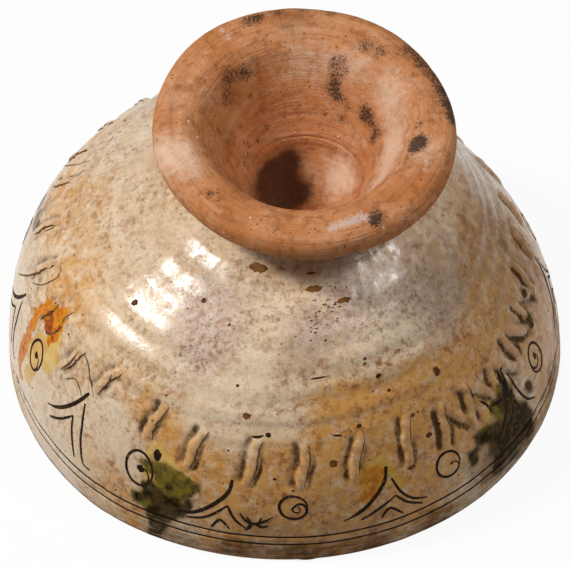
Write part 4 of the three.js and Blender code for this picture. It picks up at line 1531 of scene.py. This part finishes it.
# %% Glaze outside: clean and placed tones
CREAM, PALE = colour(213, 181, 141), colour(236, 213, 182)
WARM, OCHRE, RUST = colour(214, 154, 76), colour(166, 104, 46), colour(124, 70, 30)
LAVENDER_GREY, DEEP_GREY = colour(214, 190, 174), colour(150, 118, 94)
OLIVE_BROWN, OLIVE_GREY = colour(168, 126, 74), colour(132, 104, 72)
UMBER_BROWN = colour(112, 78, 46)

glaze = Finish("lead_glaze")
olive_tone = glaze.mix(glaze.step(glaze.streaks(14.0, 26.0), 0.38, 0.64), OLIVE_BROWN, OLIVE_GREY)
clean_bands = glaze.step(glaze.streaks(3.0, 1.6), 0.4, 0.66)
glaze.base = glaze.mix(clean_bands, CREAM, glaze.mix(0.6, CREAM, PALE))
glaze.lay(glaze.blotches(9, 0.36, 0.72), PALE, 0.7)
tan = glaze.ragged(glaze.attribute("tan"), 4, 1.9, 0.12, 0.9)
glaze.lay(tan, WARM)
olive = glaze.ragged(glaze.attribute("olive"), 5, 1.4, 0.05, 1.0)
glaze.lay(olive, olive_tone, 0.9)
grey = glaze.ragged(glaze.attribute("lavender"), 4, 1.7, 0.1, 1.0)
glaze.lay(grey, LAVENDER_GREY, 0.85)
glaze.lay(glaze.times(glaze.blotches(1.8, 0.42, 0.74, 5.0), grey), DEEP_GREY, 0.8)
# pale glaze, and a painted highlight on the right of the shoulder
ivory = glaze.ragged(glaze.attribute("ivory"), 4, 1.6, 0.15, 1.0)
glaze.lay(ivory, PALE, 0.75)
umber = glaze.ragged(glaze.attribute("umber"), 5, 1.0, 0.1, 0.9)
glaze.lay(umber, UMBER_BROWN, 0.92)
print(len(glaze.tree.nodes), "nodes after the tones")

# %% Glaze outside: mottling and flecks
# Iron mottles most where the glaze is tan, in clusters, and pale flecks show between.
wide_share = glaze.step(glaze.blotches(11, 0.42, 0.6, 12.0), 0.0, 1.0, 0.35, 1.0)
warm_share = glaze.times(glaze.plus(0.4, glaze.times(tan, 0.6)), wide_share)
glaze.lay(glaze.times(glaze.blotches(2.2, 0.47, 0.63, 2.0), warm_share), OCHRE)
glaze.lay(glaze.times(glaze.blotches(1.3, 0.54, 0.64, 4.0), warm_share), RUST, 0.6)
glaze.lay(glaze.times(glaze.blotches(15, 0.45, 0.62, 9.0), glaze.blotches(1.7, 0.46, 0.7, 3.0)), RUST, 0.75)
glaze.lay(glaze.times(glaze.blotches(3.4, 0.48, 0.76, 8.0), glaze.less(0.6, glaze.times(olive, 0.5))), PALE)
fine_share = glaze.plus(0.4, glaze.times(grey, 0.3))
glaze.lay(glaze.times(glaze.blotches(0.9, 0.48, 0.76, 6.0), fine_share), OLIVE_GREY)
print(len(glaze.tree.nodes), "nodes after the mottling")

# %% Glaze outside: fingers, scoops and stains
FINGER_TAN, SCOOP_BROWN, SCOOP_SHADOW_GREY = colour(220, 178, 130), colour(56, 40, 26), colour(104, 82, 58)
OLIVE_STAIN = colour(96, 84, 44)
STAINS = (
    # mask, thin colour, thick colour, share, ragged size in mm
    ("yellow", colour(226, 188, 104), colour(208, 152, 46), 0.75, 5.0),
    ("green", colour(120, 104, 24), colour(58, 52, 12), 0.94, 2.0),
    ("orange", colour(214, 142, 26), colour(198, 100, 12), 0.97, 1.2),
    ("russet", colour(184, 72, 8), colour(120, 42, 8), 0.9, 0.9),
    ("amber", colour(224, 164, 60), colour(190, 108, 28), 0.9, 1.5),
    ("smoke", colour(84, 66, 40), colour(18, 14, 9), 0.9, 2.4),
)

finger, scoop, smoke = (glaze.attribute(name) for name in ("finger", "scoop", "smoke"))
glaze.lay(finger, FINGER_TAN, 0.28)
glaze.lay(glaze.times(finger, glaze.blotches(2.0, 0.42, 0.7, 7.0)), OCHRE, 0.5)
# the grey halo and the right-hand part of the brown are painted shade; the brown core is dark glaze in the
# cut
glaze.lay(glaze.step(scoop, 0.05, 0.6), SCOOP_SHADOW_GREY, 0.6)
dark = glaze.ragged(scoop, 0.9, 1.7, 0.28, 0.85)
glaze.lay(dark, SCOOP_BROWN, 0.85)
stained = glaze.step(smoke, 0.0, 0.6, 0.0, 0.5)
glaze.lay(stained, OLIVE_STAIN)
for key, thin, thick, share, size in STAINS:
    mask = glaze.ragged(glaze.attribute(key), size, 1.4, 0.15, 0.9)
    glaze.lay(mask, glaze.mix(glaze.blotches(size * 1.3, 0.38, 0.64, share * 9), thin, thick), share)
    stained = glaze.most(stained, mask)
print(len(STAINS), "stains,", len(glaze.tree.nodes), "nodes")

# %% Glaze outside: worn rim, grains and cut lines
BARE_PINK, BARE_PALE, BARE_BROWN = colour(244, 222, 202), colour(240, 218, 198), colour(166, 124, 96)
CHIP_BROWN, GRAIN_BROWN, LINE_BROWN = colour(76, 54, 38), colour(70, 46, 28), colour(30, 21, 13)

worn, line = glaze.attribute("worn"), glaze.attribute("line")
scuffs = glaze.streaks(0.7, 9.0)
glaze.lay(glaze.times(glaze.times(worn, 0.8), ivory), BARE_PINK)
scuffed = glaze.times(worn, glaze.step(scuffs, 0.46, 0.72))
glaze.lay(scuffed, glaze.mix(umber, BARE_PALE, BARE_BROWN), 0.75)
chip_share = glaze.plus(0.12, glaze.times(umber, 0.5))
glaze.lay(glaze.times(glaze.times(worn, glaze.step(scuffs, 0.52, 0.34)), chip_share), CHIP_BROWN)
grains = glaze.times(glaze.specks(0.75, 0.36, 0.45), glaze.most(grey, olive))
grains = glaze.most(glaze.specks(1.6, 0.2, 0.3), grains)
glaze.lay(grains, GRAIN_BROWN, 0.7)
glaze.lay(glaze.step(line, 0.3, 0.6), LINE_BROWN)
print(len(glaze.tree.nodes), "nodes after the wear")

# %% Glaze outside: gloss and small relief
# Worn, stained and gathered glaze is rougher and reflects less than the clean coat.
LEAST_ROUGH, GLOSSY, DULL = 0.17, 0.28, 0.03

rough = glaze.plus(LEAST_ROUGH, glaze.times(glaze.blotches(2.5, 0.4, 0.65, 6.0), 0.14))
rough = glaze.plus(rough, glaze.times(glaze.most(worn, umber, dark), 0.35))
dull = glaze.most(worn, umber, dark, glaze.times(scoop, 0.8), smoke, line)
clear = glaze.less(1.0, glaze.most(glaze.times(stained, 0.8), glaze.times(olive, 0.3)))
gloss = glaze.times(glaze.step(dull, 0.0, 0.8, GLOSSY, DULL), clear)
small, wide = glaze.noise(glaze.place, 900.0, 4.0), glaze.noise(glaze.place, 260.0, 3.0)
skin = glaze.plus(glaze.times(small, 0.4), glaze.times(wide, 0.8))
glaze.bump(glaze.less(skin, glaze.times(grains, 0.5)), 0.1)
outside_piece.data.materials.append(glaze.done(rough, gloss))
print("lead glaze:", len(glaze.tree.nodes), "nodes")

# %% [markdown]
# ## Dark glaze in furrows and pits
# Where glaze gathered it is nearly opaque. One function makes all four finishes, from the black of the
# wide furrows to the glossy brown of the spots.

# %% Make the dark glazes
def dark_glaze(name, first, second, roughness):
    """Glaze gathered in a furrow or a pit, uneven between two tones."""
    finish = Finish(name)
    finish.base = finish.mix(finish.blotches(3.0, 0.4, 0.6), first, second)
    finish.lay(finish.specks(0.9, 0.4, 0.3), WARM, 0.5)
    finish.bump(finish.blotches(0.8, 0.35, 0.65, 1.0), 0.06)
    return finish.done(roughness, 0.05)


DARK_GLAZES = [
    (ornament_piece, "furrow_glaze", colour(24, 17, 11), colour(50, 34, 20), 0.6),
    # the thin brown glaze of the chance marks, and of the finger edges, which are partly painted shadow
    (thin_marks_and_shadow_piece, "thin_glaze_and_shadow", colour(78, 56, 36), colour(124, 94, 62), 0.5),
    (pits_piece, "pit_clay", colour(60, 36, 22), colour(104, 64, 36), 0.6),
    (spots_piece, "brown_glaze", colour(104, 66, 28), colour(132, 88, 40), 0.2),
]
for piece, *values in DARK_GLAZES:
    piece.data.materials.append(dark_glaze(*values))
print(len(DARK_GLAZES), "dark glazes")

# %% [markdown]
# ## Bare clay
# Fired red earthenware is matt, streaked along the wheel, and full of pores and grit. Dust, dirt, lime
# and soot are painted masks with ragged edges; the dust mask is partly painted light and the dirt mask
# mostly painted shade, in the hollow and the pit. The turning's ridges are too fine for the mesh, so they
# are a bump: a sine along the path whose phase wanders with the streaks.

# %% Clay material
EARTH_ORANGE, STREAK_BROWN, STREAK_PALE = colour(176, 104, 54), colour(146, 88, 50), colour(210, 156, 116)
DUST_PALE, CLOUD_BROWN, PORE_BROWN = colour(214, 172, 138), colour(140, 84, 46), colour(92, 54, 32)
GRIT_PALE, DUST_AND_LIGHT_WHITE, SHADE_AND_DIRT_BROWN = colour(226, 196, 168), colour(228, 192, 164), colour(58, 29, 15)
LIME_WHITE, SOOT_HAZE, SOOT_BLACK = colour(208, 180, 166), colour(112, 76, 54), colour(46, 36, 32)
RIDGE_PITCH = 0.85
GRIT_SHIFT = (0.3, 0.1, 0.2)


def clay(name, first, second):
    """Clay in two tones: turning streaks and ridges, pores, dust, lime, soot, and painted light and shade."""
    finish = Finish(name)
    times, blotches = finish.times, finish.blotches
    finish.base = finish.mix(blotches(14, 0.36, 0.66), first, second)
    finish.lay(blotches(22, 0.44, 0.66, 4.0), EARTH_ORANGE, 0.6)
    streaks, wide_streaks = finish.streaks(0.7, 2.5), finish.streaks(2.6, 1.5)
    finish.lay(finish.step(streaks, 0.48, 0.7, 0.0, 0.45), STREAK_BROWN)
    finish.lay(finish.step(wide_streaks, 0.5, 0.68, 0.0, 0.4), STREAK_PALE)
    finish.lay(times(blotches(9, 0.46, 0.68, 7.0), blotches(1.6, 0.35, 0.7, 2.0)), DUST_PALE, 0.5)
    finish.lay(blotches(3.0, 0.48, 0.66, 6.0), CLOUD_BROWN, 0.55)
    pores = finish.specks(1.3, 0.26, 0.3)
    finish.lay(finish.most(pores, times(finish.specks(0.7, 0.3, 0.3), 0.6)), PORE_BROWN, 0.75)
    finish.lay(finish.specks(2.4, 0.2, 0.16, finish.shifted(finish.place, GRIT_SHIFT)), GRIT_PALE, 0.7)
    # painted light on the right of the hollow and the pit, and dust on the flat of the foot
    finish.lay(finish.ragged(finish.attribute("dust"), 2.5, 1.2, 0.05, 1.0), DUST_AND_LIGHT_WHITE, 0.85)
    # painted shade in the pit and on the hollow's left wall, and a little dirt on the flat of the foot
    finish.lay(finish.ragged(finish.attribute("dirt"), 2.0, 0.4, 0.05, 0.9), SHADE_AND_DIRT_BROWN, 0.9)
    finish.lay(finish.ragged(finish.attribute("lime"), 1.0, 2.0, 0.3, 0.9), LIME_WHITE, 0.85)
    soot_amount = finish.attribute("soot")
    finish.lay(finish.step(soot_amount, 0.05, 0.7, 0.0, 0.5), SOOT_HAZE)
    soot = finish.ragged(soot_amount, 0.6, 3.0, 0.44, 0.8)
    finish.lay(soot, SOOT_BLACK, 0.85)
    path = finish.add("ShaderNodeSeparateXYZ", {0: finish.attribute("turned", "Vector")}).outputs[2]
    phase = finish.plus(times(path, 2 * math.pi / RIDGE_PITCH), times(wide_streaks, 6.0))
    ridges = times(finish.math("SINE", phase), finish.step(wide_streaks, 0.3, 0.8, 0.0, 0.1))
    grain = finish.noise(finish.place, 1400.0, 4.0)
    height = finish.plus(finish.plus(times(streaks, 0.7), ridges), times(grain, 0.8))
    finish.bump(finish.plus(finish.less(height, times(pores, 0.6)), times(soot, 0.5)), 0.25)
    return finish.done(0.9, 0.15)


foot_clay = clay("red_earthenware", colour(192, 124, 72), colour(200, 136, 90))
foot_piece.data.materials.append(foot_clay)
body_piece.data.materials.append(foot_clay)
joint_piece.data.materials.append(clay("joint_clay", colour(178, 112, 78), colour(192, 128, 92)))
print("clay:", len(foot_clay.node_tree.nodes), "nodes")

# %% [markdown]
# ## Slip and the inside's glaze
# The slip shows only at the glaze's edges, so it is plain. The glaze inside is yellower than the one
# outside, because it pooled thicker there.

# %% Slip and the inside's glaze
def slip():
    """White slip that never took a gloss, with a few pinholes."""
    finish = Finish("white_slip")
    finish.base = finish.mix(finish.blotches(8, 0.4, 0.62), colour(228, 218, 198), colour(214, 200, 176))
    finish.lay(finish.specks(2.0, 0.25, 0.3), colour(150, 110, 80), 0.6)
    finish.bump(finish.blotches(1.0, 0.3, 0.7, 2.0), 0.1)
    return finish.done(0.8)


def inner_glaze():
    """Yellowish glaze inside, mottled and streaked, with a few green clouds and brown grains."""
    finish = Finish("inner_glaze")
    finish.base = finish.mix(finish.blotches(12, 0.4, 0.62), colour(222, 196, 146), colour(206, 170, 112))
    finish.lay(finish.step(finish.streaks(4.0, 1.2), 0.48, 0.7, 0.0, 0.5), colour(184, 134, 74))
    finish.lay(finish.blotches(26, 0.58, 0.68, 3.0), colour(112, 112, 44), 0.7)
    finish.lay(finish.specks(1.6, 0.24, 0.3), colour(96, 62, 36), 0.7)
    finish.bump(finish.blotches(3.0, 0.3, 0.7, 2.0), 0.12)
    return finish.done(0.28)


inside_piece.data.materials.append(inner_glaze())
white_slip = slip()
for node in ("outer_slip", "inner_slip"):
    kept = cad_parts[node]
    kept.data.materials.clear()
    kept.data.materials.append(white_slip)
print("materials:", ", ".join(material.name for material in bpy.data.materials if material.users))

# %% [markdown]
# ## Tie the pieces to the frame
# Every piece rides on the bowl's one body. Five of them stand for a solid of the frame. The cut ornament,
# the thin lines with their painted shadow edges, the pits and the spots lie in the glaze and replace
# nothing.

# %% Ride and what is replaced, with each piece's slot listed
PIECES = [
    (outside_piece, "lead_glaze", ["outer_glaze"]),
    (ornament_piece, "lead_glaze", []),
    (thin_marks_and_shadow_piece, "lead_glaze", []),
    (pits_piece, "lead_glaze", []),
    (spots_piece, "lead_glaze", []),
    (foot_piece, "clay", ["pedestal_foot"]),
    (body_piece, "clay", ["bowl_wall"]),
    (joint_piece, "luting_slip", ["luting_slip"]),
    (inside_piece, "inner_glaze", ["inner_glaze"]),
]
for piece, slot, replaced in PIECES:
    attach(piece, "root")
    if replaced:
        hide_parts(*replaced)
print(len(PIECES), "pieces ride on the root,", sum(bool(row[2]) for row in PIECES), "of them replace a solid")

# %% [markdown]
# ## Light and floor
# Two soft boxes stand high on the left and the right, each with a small bright core inside a wider and
# softer box. Their reflections are the bright patches on the shoulder. The world fills the shadows, and
# the floor is a pale sheet that keeps a soft shadow.

# %% Lamps
LAMP_DISTANCE = 0.95
LAMPS = {
    # azimuth, elevation, watts, width and height in metres
    "left_core": (-175, 46, 6.4, 0.14, 0.16),
    "left_box": (-174, 44, 1.5, 0.34, 0.3),
    "right_core": (-10, 52, 1.5, 0.12, 0.09),
    "right_box": (-20, 50, 1.8, 0.34, 0.26),
}
TARGET = Vector((0, 0, 60 * MM))

for name, (azimuth, elevation, power, wide, tall) in LAMPS.items():
    light = bpy.data.lights.new(name, "AREA")
    light.shape, light.size, light.size_y, light.energy = "RECTANGLE", wide, tall, power
    lamp = bpy.data.objects.new(name, light)
    a, e = math.radians(azimuth), math.radians(elevation)
    towards = Vector((math.cos(a) * math.cos(e), math.sin(a) * math.cos(e), math.sin(e)))
    lamp.location = TARGET + towards * LAMP_DISTANCE
    lamp.rotation_euler = towards.to_track_quat("Z", "Y").to_euler()
    bpy.context.collection.objects.link(lamp)
print("lamps:", ", ".join(LAMPS))

# %% World and floor
# The camera, glosses and glass see a bright world and floor, while the bowl is lit by dimmer ones, so
# the background is white without more light on the object.
FILL_STRENGTH = 0.06
FLOOR_SIZE = 30.0
FLOOR_GLOW = 0.93
WHITE, FLOOR_DARK, FLOOR_PALE = (1, 1, 1, 1), (0.35, 0.35, 0.35, 1), (0.9, 0.9, 0.9, 1)


def seen_directly(nodes):
    """1 for rays from the camera, from a gloss or through glass."""
    path = nodes.add("ShaderNodeLightPath").outputs
    return nodes.most(path["Is Camera Ray"], path["Is Glossy Ray"], path["Is Transmission Ray"])


world = bpy.data.worlds.new("studio")
world.use_nodes = True
bpy.context.scene.world = world
sky = Nodes(world.node_tree)
background = sky.tree.nodes["Background"].inputs
background["Color"].default_value = WHITE
sky.feed(background["Strength"], sky.step(seen_directly(sky), 0, 1, FILL_STRENGTH, 1.0))

half = FLOOR_SIZE / 2
floor_mesh = bpy.data.meshes.new("floor")
corners = [(-half, -half, 0), (half, -half, 0), (half, half, 0), (-half, half, 0)]
floor_mesh.from_pydata(corners, [], [(0, 1, 2, 3)])
floor = bpy.data.objects.new("floor", floor_mesh)
bpy.context.collection.objects.link(floor)
sheet = Finish("pale_floor")
sheet.base = sheet.mix(seen_directly(sheet), FLOOR_DARK, FLOOR_PALE)
glow = sheet.add("ShaderNodeEmission", {"Color": WHITE, "Strength": 1.0})
share = sheet.times(seen_directly(sheet), FLOOR_GLOW)
matt = sheet.tree.nodes["Principled BSDF"].outputs[0]
blend = sheet.add("ShaderNodeMixShader", {0: share, 1: matt, 2: glow.outputs[0]})
sheet.feed(sheet.tree.nodes["Material Output"].inputs["Surface"], blend.outputs[0])
floor_mesh.materials.append(sheet.done(0.9, 0.0))
print(f"floor {FLOOR_SIZE:.0f} m across, fill {FILL_STRENGTH}")

# %% [markdown]
# ## Finish

# %% View settings
bpy.context.scene.view_settings.view_transform = "Standard"
